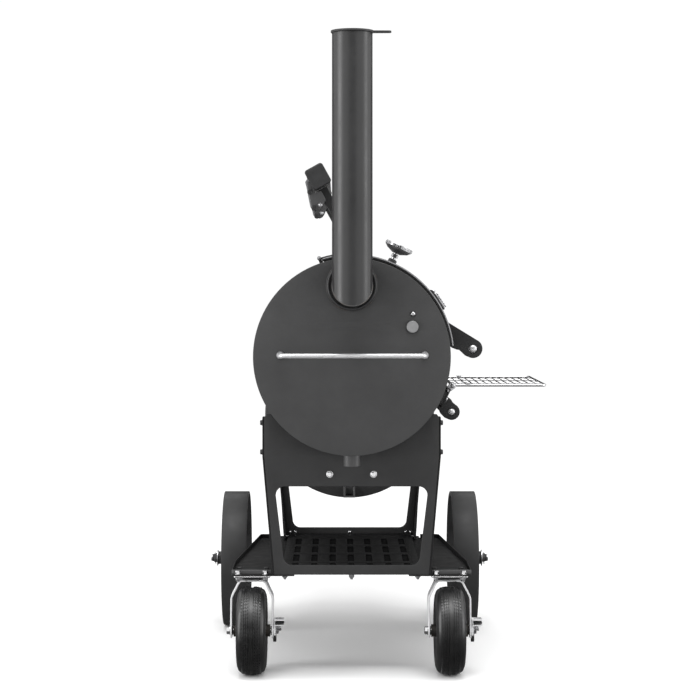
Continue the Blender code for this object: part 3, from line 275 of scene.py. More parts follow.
# --------------------------------------------------------------- geometry --
def box(lo, hi, turn=None):
    bm = bmesh.new()
    bmesh.ops.create_cube(bm, size=1.0)
    lo, hi = Vector(lo), Vector(hi)
    bmesh.ops.scale(bm, vec=hi - lo, verts=bm.verts)
    bmesh.ops.translate(bm, vec=(lo + hi) / 2, verts=bm.verts)
    if turn:
        bm.transform(turn)
        if turn.determinant() < 0:
            bmesh.ops.reverse_faces(bm, faces=bm.faces)
    return bm


def axes(at, axis):
    a = Vector(axis).normalized()
    rot = Vector((0, 0, 1)).rotation_difference(a).to_matrix().to_4x4()
    return Matrix.Translation(Vector(at)) @ rot


def revolve(at, axis, prof, seg=64, closed=False, spin=0.0):
    """Profile of (radius, height) turned about an axis."""
    bm = bmesh.new()
    mt = axes(at, axis)
    rows = []
    for r, h in prof:
        if r < 1e-7:
            rows.append([bm.verts.new(mt @ Vector((0, 0, h)))])
        else:
            rows.append([bm.verts.new(mt @ Vector((
                r * math.cos(spin + 2 * math.pi * i / seg),
                r * math.sin(spin + 2 * math.pi * i / seg), h)))
                for i in range(seg)])
    pairs = list(zip(rows, rows[1:]))
    if closed:
        pairs.append((rows[-1], rows[0]))
    for a, b in pairs:
        for i in range(seg):
            j = (i + 1) % seg
            if len(a) == 1 and len(b) == 1:
                break
            if len(a) == 1:
                bm.faces.new((a[0], b[i], b[j]))
            elif len(b) == 1:
                bm.faces.new((a[i], b[0], a[j]))
            else:
                bm.faces.new((a[i], b[i], b[j], a[j]))
    bmesh.ops.recalc_face_normals(bm, faces=bm.faces)
    return bm


def cyl(p0, p1, r, seg=40, chamfer=0.0):
    p0, p1 = Vector(p0), Vector(p1)
    L = (p1 - p0).length
    c = chamfer
    if c:
        prof = [(0, L), (r - c, L), (r, L - c), (r, c), (r - c, 0), (0, 0)]
    else:
        prof = [(0, L), (r, L), (r, 0), (0, 0)]
    return revolve(p0, p1 - p0, prof, seg)


def circle(cx, cy, r, n=32, a0=0.0, a1=360.0, ends=False):
    k = n if not ends else n + 1
    return [(cx + r * math.cos(math.radians(a0 + (a1 - a0) * i / n)),
             cy + r * math.sin(math.radians(a0 + (a1 - a0) * i / n)))
            for i in range(k)]


def rounded(x0, y0, x1, y1, r, n=8):
    out = []
    for cx, cy, a in ((x1 - r, y1 - r, 0), (x0 + r, y1 - r, 90),
                      (x0 + r, y0 + r, 180), (x1 - r, y0 + r, 270)):
        out += circle(cx, cy, r, n, a, a + 90, True)
    return out


def soft_corners(pts, r, n=5):
    """Round the corners of a closed outline; r is one number or one each."""
    out = []
    k = len(pts)
    for i in range(k):
        p = Vector(pts[i])
        a = Vector(pts[i - 1]) - p
        b = Vector(pts[(i + 1) % k]) - p
        rr = r[i] if isinstance(r, (list, tuple)) else r
        if rr <= 0 or a.length < 1e-6 or b.length < 1e-6:
            out.append(tuple(p))
            continue
        ang = a.angle(b)
        if ang > math.radians(176):
            out.append(tuple(p))
            continue
        d = min(rr / math.tan(ang / 2), a.length * 0.49, b.length * 0.49)
        pa, pb = p + a.normalized() * d, p + b.normalized() * d
        for s in range(n + 1):
            t = s / n
            q = pa * (1 - t) ** 2 + p * 2 * t * (1 - t) + pb * t ** 2
            out.append(tuple(q))
    return out


def plate(loops, plane, at, thick, bev=0.0008, res=1):
    """Flat plate with small rounded edges."""
    cu = bpy.data.curves.new("outline", 'CURVE')
    cu.dimensions = '2D'
    cu.fill_mode = 'BOTH'
    cu.extrude = max(thick / 2 - bev, 0.00001)
    cu.bevel_depth = bev
    cu.bevel_resolution = res
    cu.offset = -bev
    for loop in loops:
        sp = cu.splines.new('POLY')
        sp.points.add(len(loop) - 1)
        for p, q in zip(sp.points, loop):
            p.co = (q[0], q[1], 0.0, 1.0)
        sp.use_cyclic_u = True
    rot = {'XZ': Matrix.Rotation(math.radians(90), 4, 'X'),
           'XY': Matrix.Identity(4),
           'YZ': Matrix.Rotation(math.radians(90), 4, 'Z')
           @ Matrix.Rotation(math.radians(90), 4, 'X')}[plane]
    shift = {'XZ': (0, at, 0), 'XY': (0, 0, at), 'YZ': (at, 0, 0)}[plane]
    ob = bpy.data.objects.new("outline", cu)
    bpy.context.scene.collection.objects.link(ob)
    bpy.context.view_layer.update()
    me = bpy.data.meshes.new_from_object(
        ob.evaluated_get(bpy.context.evaluated_depsgraph_get()))
    bpy.data.objects.remove(ob, do_unlink=True)
    bpy.data.curves.remove(cu)
    bm = bmesh.new()
    bm.from_mesh(me)
    bpy.data.meshes.remove(me)
    bm.transform(Matrix.Translation(shift) @ rot)
    bmesh.ops.remove_doubles(bm, verts=bm.verts, dist=0.00001)
    bmesh.ops.recalc_face_normals(bm, faces=bm.faces)
    return bm


def pipe_path(pts, r, seg=20, cyclic=False):
    """Round bar along a path, with flat ends."""
    bm = bmesh.new()
    pts = [Vector(p) for p in pts]
    n = len(pts)
    rows = []
    prev = None
    for i, p in enumerate(pts):
        if cyclic:
            t = pts[(i + 1) % n] - pts[i - 1]
        elif i == 0:
            t = pts[1] - pts[0]
        elif i == n - 1:
            t = pts[-1] - pts[-2]
        else:
            t = (pts[i + 1] - p).normalized() + (p - pts[i - 1]).normalized()
        t.normalize()
        if prev is None:
            u = t.orthogonal().normalized()
        else:
            u = (prev - t * prev.dot(t)).normalized()
        prev = u
        v = t.cross(u)
        rows.append([bm.verts.new(p + (u * math.cos(2 * math.pi * k / seg)
                                       + v * math.sin(2 * math.pi * k / seg))
                                  * r) for k in range(seg)])
    pairs = list(zip(rows, rows[1:]))
    if cyclic:
        pairs.append((rows[-1], rows[0]))
    for a, b in pairs:
        for k in range(seg):
            bm.faces.new((a[k], a[(k + 1) % seg], b[(k + 1) % seg], b[k]))
    if not cyclic:
        bm.faces.new(rows[0])
        bm.faces.new(list(reversed(rows[-1])))
    bmesh.ops.recalc_face_normals(bm, faces=bm.faces)
    return bm


def loft(sections):
    bm = bmesh.new()
    rows = [[bm.verts.new(p) for p in s] for s in sections]
    n = len(rows[0])
    for a, b in zip(rows, rows[1:]):
        for i in range(n):
            bm.faces.new((a[i], a[(i + 1) % n], b[(i + 1) % n], b[i]))
    bm.faces.new(rows[0])
    bm.faces.new(list(reversed(rows[-1])))
    bmesh.ops.recalc_face_normals(bm, faces=bm.faces)
    return bm


def polar(zc, r, a):
    return (r * math.sin(math.radians(a)), zc + r * math.cos(math.radians(a)))


def curved(zc, r_in, thick, angles, ys, keep=lambda i, j: True, wrap=False):
    """Closed rolled plate over a grid of angles and stations, with openings
    where keep says no."""
    bm = bmesh.new()
    na, ny = len(angles), len(ys)
    grid = {}

    def vert(side, i, j):
        key = (side, i % na if wrap else i, j)
        if key not in grid:
            r = r_in + thick * side
            x, z = polar(zc, r, angles[key[1]])
            grid[key] = bm.verts.new((x, ys[j], z))
        return grid[key]

    cells = set()
    for i in range(na if wrap else na - 1):
        for j in range(ny - 1):
            if keep(i, j):
                cells.add((i, j))
    for i, j in cells:
        for side in (0, 1):
            q = [vert(side, i, j), vert(side, i + 1, j),
                 vert(side, i + 1, j + 1), vert(side, i, j + 1)]
            bm.faces.new(q if side else list(reversed(q)))
        for di, dj, a, b in ((0, -1, (i, j), (i + 1, j)),
                             (0, 1, (i + 1, j + 1), (i, j + 1)),
                             (-1, 0, (i, j + 1), (i, j)),
                             (1, 0, (i + 1, j), (i + 1, j + 1))):
            ni = (i + di) % na if wrap else i + di
            if (ni, j + dj) in cells:
                continue
            bm.faces.new((vert(1, *a), vert(1, *b), vert(0, *b),
                          vert(0, *a)))
    bmesh.ops.recalc_face_normals(bm, faces=bm.faces)
    return bm


def hexhead(at, axis, across, h, seg_spin=0.0, dome=0.15):
    """Hexagon head with a turned chamfer on top."""
    r = across / math.sqrt(3)
    return revolve(at, axis, [(0, h), (r * 0.80, h), (r * 0.99, h * 0.80),
                              (r, h * 0.74), (r, 0), (0, 0)], 6,
                   spin=seg_spin)


def washer(at, axis, r, h, seg=32):
    return revolve(at, axis, [(0, h), (r - h * 0.3, h), (r, h * 0.7), (r, 0),
                              (0, 0)], seg)


def dome(at, axis, r, h, seg=28):
    prof = []
    for k in range(7):
        a = math.radians(90 * k / 6)
        prof.append((r * math.sin(a), h * (0.25 + 0.75 * math.cos(a))))
    prof[0] = (0, h)
    return revolve(at, axis, prof + [(r, 0), (0, 0)], seg)


def bolt_set(at, axis, across, h, wr=None, wh=0.0016, spin=0.0, stud=0.0,
             stud_r=0.004):
    """Washer, hexagon and, if asked, the end of the thread."""
    a = Vector(axis).normalized()
    p = Vector(at)
    out = []
    if wr:
        out.append(washer(p, a, wr, wh))
        p = p + a * wh
    out.append(hexhead(p, a, across, h, spin))
    if stud:
        out.append(cyl(p + a * h, p + a * (h + stud), stud_r, 20, 0.0006))
    return out


def bead(points, r=0.0028, step=0.0055, seg=8, flat=1.0):
    """Weld bead: a rope of overlapping ripples along a path."""
    pts = [Vector(p) for p in points]
    run = [0.0]
    for a, b in zip(pts, pts[1:]):
        run.append(run[-1] + (b - a).length)
    n = max(8, int(run[-1] / (step / 4)))
    bm = bmesh.new()
    rows = []
    prev = None
    k = 0
    for i in range(n + 1):
        s = run[-1] * i / n
        while k < len(pts) - 2 and run[k + 1] < s:
            k += 1
        f = (s - run[k]) / max(run[k + 1] - run[k], 1e-9)
        p = pts[k].lerp(pts[k + 1], min(1.0, f))
        t = (pts[k + 1] - pts[k]).normalized()
        u = t.orthogonal().normalized() if prev is None else \
            (prev - t * prev.dot(t)).normalized()
        prev = u
        v = t.cross(u)
        ph = (s / step) % 1.0
        rr = r * (0.84 + 0.16 * math.sin(math.pi * ph)
                  + 0.04 * rng.uniform(-1, 1))
        rows.append([bm.verts.new(p + (u * math.cos(2 * math.pi * q / seg)
                                       + v * math.sin(2 * math.pi * q / seg))
                                  * rr) for q in range(seg)])
    for a, b in zip(rows, rows[1:]):
        for q in range(seg):
            bm.faces.new((a[q], a[(q + 1) % seg], b[(q + 1) % seg], b[q]))
    bm.faces.new(rows[0])
    bm.faces.new(list(reversed(rows[-1])))
    bmesh.ops.recalc_face_normals(bm, faces=bm.faces)
    return bm


def ring_path(zc, r, y, a0=0.0, a1=360.0, n=96, cx=0.0):
    return [(cx + r * math.sin(math.radians(a0 + (a1 - a0) * i / n)), y,
             zc + r * math.cos(math.radians(a0 + (a1 - a0) * i / n)))
            for i in range(n + 1)]


def piece(name, shapes, body, mat, replaces=(), sharp=32, bevel=0.0,
          bseg=2):
    """Join shapes into one object, shift it into the model's frame, and say
    which body it rides on."""
    if not isinstance(shapes, (list, tuple)):
        shapes = [shapes]
    me = bpy.data.meshes.new(name)
    all_bm = bmesh.new()
    for s in shapes:
        tmp = bpy.data.meshes.new("tmp")
        s.to_mesh(tmp)
        s.free()
        all_bm.from_mesh(tmp)
        bpy.data.meshes.remove(tmp)
    bmesh.ops.translate(all_bm, vec=SHIFT, verts=all_bm.verts)
    all_bm.to_mesh(me)
    all_bm.free()
    me.shade_smooth()
    me.set_sharp_from_angle(angle=math.radians(sharp))
    ob = bpy.data.objects.new(name, me)
    bpy.context.scene.collection.objects.link(ob)
    me.materials.append(M[mat])
    if bevel:
        b = ob.modifiers.new("edge", 'BEVEL')
        b.width = bevel
        b.segments = bseg
        b.limit_method = 'ANGLE'
        b.angle_limit = math.radians(40)
        b.use_clamp_overlap = True
        b.harden_normals = False
    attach(ob, body)
    if replaces:
        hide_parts(*replaces)
    return ob


# ---------------------------------------------------------------- chamber --
def spans(edges, step):
    out = []
    for a, b in zip(edges, edges[1:]):
        n = max(1, round((b - a) / step))
        out += [a + (b - a) * i / n for i in range(n)]
    out.append(edges[-1])
    return out


def drum(zc, y0, y1, a0, a1, ya, yb):
    ang = spans([-180, a0, a1, 180], 3.0)[:-1]
    ys = spans([y0, ya, yb, y1], 0.12)

    def keep(i, j):
        am = ang[i] + 0.5
        ym = (ys[j] + ys[j + 1]) / 2
        return not (a0 < am < a1 and ya < ym < yb)
    return curved(zc, DRUM_R - WALL, WALL, ang, ys, keep, wrap=True)


piece("chamber_pipe", drum(DRUM_Z, WALL + 0.0003, DRUM_L - WALL - 0.0003,
                           -10.5, 78.5, 0.072, 0.840), "cart", "coat",
      ["chamber_shell"], bevel=0.0012)
ledges = []
for s in (-1, 1):
    ledges.append(box((min(s * 0.2455, s * 0.2100), 0.030, DRUM_Z - 0.060),
                      (max(s * 0.2455, s * 0.2100), 0.884, DRUM_Z - 0.057)))
piece("grate_ledges", ledges, "cart", "iron", bevel=0.0006)
piece("drain_pipe", revolve((0, 0.045, 0.553), (0, 0, 1),
                            [(0.0218, 0.0335), (0.0218, 0.0010),
                             (0.0208, 0), (0.0182, 0), (0.0172, 0.0010),
                             (0.0172, 0.0335)], 48, True), "cart", "coat")
piece("drain_weld", bead([(0.0222 * math.cos(2 * math.pi * i / 40),
                           0.045 + 0.0222 * math.sin(2 * math.pi * i / 40),
                           DRUM_Z - math.sqrt(0.2545 ** 2 - (0.0222 * math.cos(
                               2 * math.pi * i / 40)) ** 2))
                          for i in range(41)], 0.0022), "cart", "weld")

HOLE = [circle(0, DRUM_Z, DRUM_R, 144), circle(0, STACK_Z, 0.0512, 64),
        circle(0.1555, 0.915, 0.0088, 32)]
piece("end_plate", plate(HOLE, 'XZ', WALL / 2, WALL, 0.0010, 2), "cart",
      "coat_plate", ["chamber_end_plate"])
piece("end_plate_weld", bead(ring_path(DRUM_Z, 0.2528, 0.0068), 0.0015,
                             0.005), "cart", "weld")
piece("stack_collar", revolve((0, -0.013, STACK_Z), (0, 1, 0),
                              [(0.0640, 0.0128)]
                              + [(0.06075 + 0.00325 * math.cos(
                                  math.radians(q)), 0.00325 - 0.00325
                                  * math.sin(math.radians(q)))
                                 for q in range(0, 181, 20)]
                              + [(0.0575, 0.0128)], 96, True), "cart", "stack")
piece("collar_weld", bead(ring_path(STACK_Z, 0.0650, -0.0006), 0.0020, 0.005),
      "cart", "weld")

# divider plate that carries the firebox
half = (DRUM_Z - BOX_Z) / 2
meet = math.degrees(math.acos(half / DRUM_R))
up = circle(0, DRUM_Z, DRUM_R, 80, -90 + meet, 270 - meet, True)
dn = circle(0, BOX_Z, DRUM_R, 80, 90 + meet, 450 - meet, True)
piece("divider", plate([up + dn[1:-1],
                        rounded(-0.12, 0.645, 0.12, 0.735, 0.03)], 'XZ',
                       DRUM_L - WALL / 2, WALL, 0.0010, 2), "cart", "coat",
      ["divider_plate"])
piece("divider_weld",
      [bead(ring_path(DRUM_Z, 0.2542, DRUM_L - WALL - 0.0010), 0.0022),
       bead(ring_path(BOX_Z, 0.2542, DRUM_L + 0.0010), 0.0022)], "cart",
      "weld")
lug = [box((-0.0185, 0.866, 0.3850), (-0.0125, 0.9079, 0.4120)),
       box((0.0105, 0.866, 0.3850), (0.0165, 0.9079, 0.4120)),
       box((-0.0185, 0.866, 0.3800), (0.0165, 0.9079, 0.3850)),
       box((-0.0125, 0.9000, 0.3850), (0.0105, 0.9079, 0.4120))]
piece("firebox_lug", lug, "cart", "bracket", bevel=0.0008)

# ---------------------------------------------------------------- firebox --
piece("firebox_pipe", drum(BOX_Z, DRUM_L + 0.0003, FY - WALL - 0.0003, -10.5,
                           78.5, 0.984, 1.346), "cart", "coat",
      ["firebox_shell"], bevel=0.0012)
ledges = []
for s in (-1, 1):
    ledges.append(box((min(s * 0.1860, s * 0.1650), 0.935, 0.4617),
                      (max(s * 0.1860, s * 0.1650), 1.345, 0.4647)))
piece("fire_ledges", ledges, "cart", "iron", bevel=0.0006)
piece("firebox_plate", plate([circle(0, BOX_Z, DRUM_R, 144),
                              rounded(-0.125, 0.500, 0.125, 0.730, 0.02)],
                             'XZ', FY - WALL / 2, WALL, 0.0010, 2), "cart",
      "coat_plate", ["firebox_end_plate"])
piece("firebox_weld", bead(ring_path(BOX_Z, 0.2528, FY - WALL - 0.0008),
                           0.0015, 0.005), "cart", "weld")

# ------------------------------------------------------------------ stack --
def stack_tube():
    seg = 96
    bm = bmesh.new()
    rings = []
    for rr in (STACK_R, STACK_R - 0.003):
        for kind, val in (('top', STACK_TOP), ('mitre', 0), ('end', 0.030)):
            row = []
            for i in range(seg):
                a = 2 * math.pi * i / seg
                x, d = rr * math.cos(a), rr * math.sin(a)
                if kind == 'top':
                    row.append(bm.verts.new((x, STACK_Y + d, val)))
                elif kind == 'mitre':
                    row.append(bm.verts.new((x, STACK_Y + d, STACK_Z + d)))
                else:
                    row.append(bm.verts.new((x, val, STACK_Z + d)))
            rings.append(row)
    order = [rings[0], rings[1], rings[2], rings[5], rings[4], rings[3]]
    for a, b in zip(order, order[1:] + order[:1]):
        for i in range(seg):
            bm.faces.new((a[i], b[i], b[(i + 1) % seg], a[(i + 1) % seg]))
    bmesh.ops.recalc_face_normals(bm, faces=bm.faces)
    return bm


piece("stack_tube", stack_tube(), "cart", "stack",
      ["stack_pipe"], sharp=38, bevel=0.0010)
piece("stack_mitre_weld",
      bead([(0.0508 * math.cos(a), STACK_Y + 0.0508 * math.sin(a),
             STACK_Z + 0.0508 * math.sin(a))
            for a in (2 * math.pi * i / 72 for i in range(73))], 0.0013,
           0.004), "cart", "weld")
CAP_Y = STACK_Y + STACK_R + 0.0135
piece("stack_lug", plate([soft_corners(
    [(-0.011, STACK_Y + STACK_R + 0.0004), (0.011, STACK_Y + STACK_R + 0.0004),
     (0.011, CAP_Y + 0.009), (-0.011, CAP_Y + 0.009)],
    [0, 0, 0.006, 0.006])], 'XY', STACK_TOP - 0.0170, 0.032), "cart",
      "frame")
piece("damper_pin", [cyl((0, CAP_Y, STACK_TOP - 0.001),
                         (0, CAP_Y, STACK_TOP + 0.0075), 0.0035, 24)]
      + [hexhead((0, CAP_Y, STACK_TOP + 0.0063), (0, 0, 1), 0.0115, 0.0050)],
      "cart", "zinc")
cap_r = 0.0539
a0 = math.degrees(math.asin(0.0085 / cap_r))
a1 = math.degrees(math.asin(0.0105 / cap_r))
cap = (circle(0, STACK_Y, cap_r, 28, a0, 90 - a1, True)
       + circle(0, CAP_Y, 0.0108, 12, 0, 180, True)
       + circle(0, STACK_Y, cap_r, 84, 90 + a1, 360 - a0, True)
       + circle(0.0905, STACK_Y, 0.0075, 10, -88, 88, True))
piece("stack_cap", plate([cap, circle(0, CAP_Y, 0.0038, 24)], 'XY',
                         STACK_TOP + 0.0003 + 0.00275, 0.0055, 0.0008, 2),
      "stack_damper", "frame", ["stack_damper"])

# ---------------------------------------------------------- towing handle --
HZ, HY, bend = 0.842, -0.050, 0.016
path = [(-0.184, -0.0003, HZ), (-0.184, -0.020, HZ)]
for i in range(9):
    a = math.radians(180 - 11.25 * i)
    path.append((-0.184 + bend + bend * math.cos(a),
                 HY + bend - bend * math.sin(a), HZ))
for i in range(9):
    a = math.radians(90 - 11.25 * i)
    path.append((0.187 - bend + bend * math.cos(a),
                 HY + bend - bend * math.sin(a), HZ))
path += [(0.187, -0.020, HZ), (0.187, -0.0003, HZ)]
piece("towing_bar", pipe_path(path, 0.0059, 28), "cart", "handle",
      ["end_handle_bar"])
boss = []
for x in (-0.184, 0.187):
    boss.append(revolve((x, -0.0003, HZ), (0, -1, 0),
                        [(0.0062, 0.0085), (0.0085, 0.0080), (0.0098, 0.0060),
                         (0.0105, 0.0), (0.0062, 0.0)], 40, True))
piece("handle_bosses", boss, "cart", "zinc")

# ------------------------------------------------------------- probe port --
piece("probe_bush", revolve((0.1555, 0, 0.915), (0, 1, 0),
                            [(0.0084, 0.014), (0.0084, -0.0002),
                             (0.0174, -0.0002), (0.0178, -0.0030),
                             (0.0172, -0.0035), (0.0062, -0.0035),
                             (0.0062, 0.014)], 48, True), "cart", "dark")
piece("probe_button", revolve((0.1555, 0, 0.915), (0, -1, 0),
                              [(0, 0.0070), (0.0060, 0.0072),
                               (0.0120, 0.0077), (0.0143, 0.0076),
                               (0.0150, 0.0068), (0.0150, 0.0042),
                               (0.0142, 0.0038), (0.0055, 0.0038),
                               (0.0055, -0.0110), (0.0045, -0.012),
                               (0, -0.012)], 56), "probe_plug", "plug",
      ["probe_plug"])
piece("keeper_screw", [washer((0.157, -0.0003, 0.948), (0, -1, 0), 0.0082,
                              0.0012)], "cart", "dark",
      ["plug_keeper_screw"])
piece("keeper_screw_head", [dome((0.157, -0.0015, 0.948), (0, -1, 0), 0.0056,
                                 0.0044)], "cart", "zinc")


# ------------------------------------------------------- doors and hinges --
def hinge(tag, zc, y0, y1, door_body, door_node, node):
    px, pz = PIN_X, zc + PIN_DZ
    ear, kr, pr = 0.022, 0.0056, 0.0028
    ap = math.degrees(math.atan2(px, PIN_DZ))

    def barrel(a, b):
        c = 0.0009
        return revolve((px, a, pz), (0, 1, 0),
                       [(pr + 0.0003, b - a), (kr - c, b - a), (kr, b - a - c),
                        (kr, c), (kr - c, 0), (pr + 0.0003, 0)], 48, True)
    fixed = [barrel(y0, y0 + ear), barrel(y1 - ear, y1)]
    for ya, yb in ((y0 + 0.001, y0 + ear - 0.001),
                   (y1 - ear + 0.001, y1 - 0.001)):
        fixed.append(curved(zc, DRUM_R + 0.0004, 0.0100,
                            spans([ap - 0.7, ap + 0.9], 0.4), [ya, yb]))
    piece(tag + "_ears", fixed, "cart", "dark", [node],
          bevel=0.0005)
    piece(tag + "_pin", [cyl((px, y0 - 0.0012, pz), (px, y1 + 0.0012, pz), pr,
                             24),
                         dome((px, y0 - 0.0004, pz), (0, -1, 0), 0.0046,
                              0.0026),
                         dome((px, y1 + 0.0004, pz), (0, 1, 0), 0.0046,
                              0.0026)], "cart", "galv")
    ka, kb = y0 + ear + 0.0006, y1 - ear - 0.0006
    piece(tag + "_knuckle",
          [barrel(ka, kb),
           curved(zc, R0 - 0.0006, 0.0049, spans([ap + 1.0, ap + 14.5], 1.5),
                  [ka + 0.0005, kb - 0.0005])], door_body, "dark",
          bevel=0.0005)
    s = []
    for q in (0.25, 0.75):
        y = ka + (kb - ka) * q
        a = ap + 10.5
        x, z = polar(zc, R0 + 0.0043, a)
        u = (math.sin(math.radians(a)), 0, math.cos(math.radians(a)))
        s += [washer((x, y, z), u, 0.0078, 0.0012),
              dome(Vector((x, y, z)) + Vector(u) * 0.0012, u, 0.0062, 0.0040)]
    piece(tag + "_rivets", s, door_body, "zinc")


def door(tag, zc, y0, y1, mouth, body, skin_node, gasket_node):
    ang = spans([LID_A0, LID_A1], 2.0)
    piece(tag + "_plate", curved(zc, LID_IN, LID_T, ang,
                                 spans([y0, y1], 0.10)), body, "coat",
          [skin_node], bevel=0.0014, bseg=3)
    ga = spans([LID_A0 + 2.0, -9.5, 77.5, LID_A1 - 1.6], 2.5)
    gy = spans([y0 + 0.008, mouth[0] + 0.004, mouth[1] - 0.004, y1 - 0.008],
               0.05)

    def keep(i, j):
        am, ym = ga[i] + 0.4, (gy[j] + gy[j + 1]) / 2
        return not (-9.5 < am < 77.5
                    and mouth[0] + 0.004 < ym < mouth[1] - 0.004)
    piece(tag + "_seal", curved(zc, DRUM_R + 0.0010, 0.0034, ga, gy, keep),
          body, "rope", [gasket_node], bevel=0.0009)
    # bands welded inside the door's edge that hold the seal
    seams = []
    for ya in (y0 + 0.0015, y1 - 0.0065):
        seams.append(curved(zc, DRUM_R + 0.0035, 0.0018,
                            spans([LID_A0 + 1, LID_A1 - 1], 2.0),
                            [ya, ya + 0.005]))
    piece(tag + "_seal_band", seams, body, "dark")
    # the plate's edge: a thin bright grey strip on each end face along the outer
    # corner, a painted highlight line
    highlight_strips = []
    for ya in (y0 - 0.0007, y1 + 0.0001):
        highlight_strips.append(curved(zc, LID_IN + LID_T - 0.0029, 0.0026,
                          spans([LID_A0 + 0.5, LID_A1 - 0.5], 2.0),
                          [ya, ya + 0.0006]))
    piece(tag + "_edge_highlight", highlight_strips, body, "edge")


door("chamber_door", DRUM_Z, 0.040, 0.872, (0.072, 0.840), "chamber_door",
     "chamber_door_skin", "chamber_door_gasket")
door("firebox_lid", BOX_Z, 0.952, 1.378, (0.984, 1.346), "firebox_lid",
     "firebox_lid_skin", "firebox_lid_gasket")
hinge("chamber_hinge_a", DRUM_Z, 0.120, 0.240, "chamber_door",
      "chamber_door_skin", "chamber_hinge_near")
hinge("chamber_hinge_b", DRUM_Z, 0.672, 0.792, "chamber_door",
      "chamber_door_skin", "chamber_hinge_far")
hinge("firebox_hinge", BOX_Z, 1.085, 1.245, "firebox_lid",
      "firebox_lid_skin", "firebox_lid_hinge")


def grip_bracket(tag, zc, y, body, dx=0.0, dz=0.0):
    gx, gz = GRIP_X + dx, zc + GRIP_DZ + dz
    arc = [polar(zc, R0 - 0.0010, 84.0 - 14.0 * i / 12) for i in range(13)]
    end = circle(gx, gz, 0.025, 40, 62, -112, True)
    heel = [(gx - 0.0215, gz - 0.0180), (gx - 0.0350, gz - 0.0045),
            (0.2690, zc + 0.0185)]
    pts = soft_corners(arc + end + heel,
                       [0] * (len(arc) + len(end)) + [0.010, 0.012, 0], 6)
    piece(tag, plate([pts, circle(gx, gz, 0.0110, 40)], 'XZ', y, 0.008,
                     0.0010, 2), body, "dark")
    piece(tag + "_weld", [bead([(x, y + s * 0.0044, z) for x, z in
                                [polar(zc, R0 + 0.0004, 83.5 - 13.0 * i / 12)
                                 for i in range(13)]], 0.0019)
                          for s in (-1, 1)], body, "weld")


def grip_bar(tag, x, z, y0, y1, body, node, ys):
    r, d = 0.0095, 0.0046
    cap_ = [(r * math.sin(math.radians(q)), d * (1 - math.cos(math.radians(q))))
            for q in range(0, 91, 10)]
    piece(tag, revolve((x, y0, z), (0, 1, 0),
                       [(a, y1 - y0 - b) for a, b in cap_]
                       + list(reversed(cap_)), 56), body, "handle",
          [node])
    rings = []
    for y, s in zip(ys, (1, -1)):
        if True:
            a = y + s * 0.0052
            rings.append(revolve((x, a - 0.0012, z), (0, 1, 0),
                                 [(0.0095, 0.0024), (0.0118, 0.0024),
                                  (0.0122, 0.0020), (0.0122, 0.0004),
                                  (0.0118, 0), (0.0095, 0)], 40, True))
    piece(tag + "_clips", rings, body, "zinc")


for t, y in (("near", 0.150), ("far", 0.762)):
    grip_bracket("door_bracket_" + t, DRUM_Z, y, "chamber_door")
grip_bar("door_grip", GRIP_X, DRUM_Z + GRIP_DZ, 0.138, 0.774, "chamber_door",
         "door_handle_bar", (0.150, 0.762))
LX, LDZ = -0.007, -0.0172
for t, y in (("near", 0.990), ("far", 1.340)):
    grip_bracket("lid_bracket_" + t, BOX_Z, y, "firebox_lid", LX, LDZ)
grip_bar("lid_grip", GRIP_X + LX, BOX_Z + GRIP_DZ + LDZ, 0.978, 1.352,
         "firebox_lid", "lid_handle_bar", (0.990, 1.340))

# ------------------------------------------------------------ thermometer --
TA, TY = 25.0, 0.455
tu = Vector((math.sin(math.radians(TA)), 0, math.cos(math.radians(TA))))
ts = Vector((tu.z, 0, -tu.x))
tb = Vector((0, TY, DRUM_Z)) + tu * (R0 + 0.0343)
piece("gauge_case", revolve(tb, tu, [
    (0.0, 0.0138), (0.0356, 0.0138), (0.0356, 0.0250), (0.0362, 0.0258),
    (0.0375, 0.0262), (0.0388, 0.0258), (0.0395, 0.0246), (0.0395, 0.0170),
    (0.0388, 0.0158), (0.0340, 0.0118), (0.0300, 0.0082), (0.0220, 0.0050),
    (0.0120, 0.0006), (0.0065, 0.0)], 80), "chamber_door", "gun",
      ["thermometer_case"], sharp=26)
knurl = []
for i in range(48):
    a = 2 * math.pi * i / 48
    q = tb + (ts * math.cos(a) + Vector((0, 1, 0)) * math.sin(a)) * 0.0394
    knurl.append(cyl(q + tu * 0.0178, q + tu * 0.0238, 0.0011, 8, 0.0004))
piece("gauge_knurl", knurl, "chamber_door", "gun")
piece("gauge_stem", [cyl(tb - tu * 0.1043, tb + tu * 0.001, 0.0066, 32),
                     hexhead(tb - tu * 0.0120, tu, 0.0180, 0.0100)],
      "chamber_door", "gun")
piece("gauge_nut", [hexhead(tb - tu * 0.0337, tu, 0.0215, 0.0164),
                    washer(tb - tu * 0.0343, tu, 0.0138, 0.0012)],
      "chamber_door", "dark")
face = Matrix(((ts.x, 0, tu.x, 0), (0, 1, 0, 0), (ts.z, 0, tu.z, 0),
               (0, 0, 0, 1)))
ft = Matrix.Translation(tb + tu * 0.0139) @ face
piece("gauge_dial", revolve(tb + tu * 0.0138, tu, [(0, 0.0004),
                                                   (0.0350, 0.0004),
                                                   (0.0350, 0), (0, 0)], 72),
      "chamber_door", "dial")
marks = []
for i in range(28):
    a = math.radians(-135 + 10 * i)
    long_ = i % 3 == 0
    m = ft @ Matrix.Rotation(a, 4, 'Z')
    marks.append(box((-0.0004 if not long_ else -0.0007,
                      0.0255 if long_ else 0.0280, 0.0003),
                     (0.0004 if not long_ else 0.0007, 0.0318, 0.0007),
                     turn=m))
piece("gauge_marks", marks, "chamber_door", "ink")
piece("gauge_band", revolve(tb + tu * 0.0141, tu, [(0.0240, 0.0003),
                                                   (0.0228, 0.0003),
                                                   (0.0228, 0),
                                                   (0.0240, 0)], 72, True),
      "chamber_door", "red")
needle = []
m = Matrix.Translation(tb + tu * 0.0140) @ face
sec = []
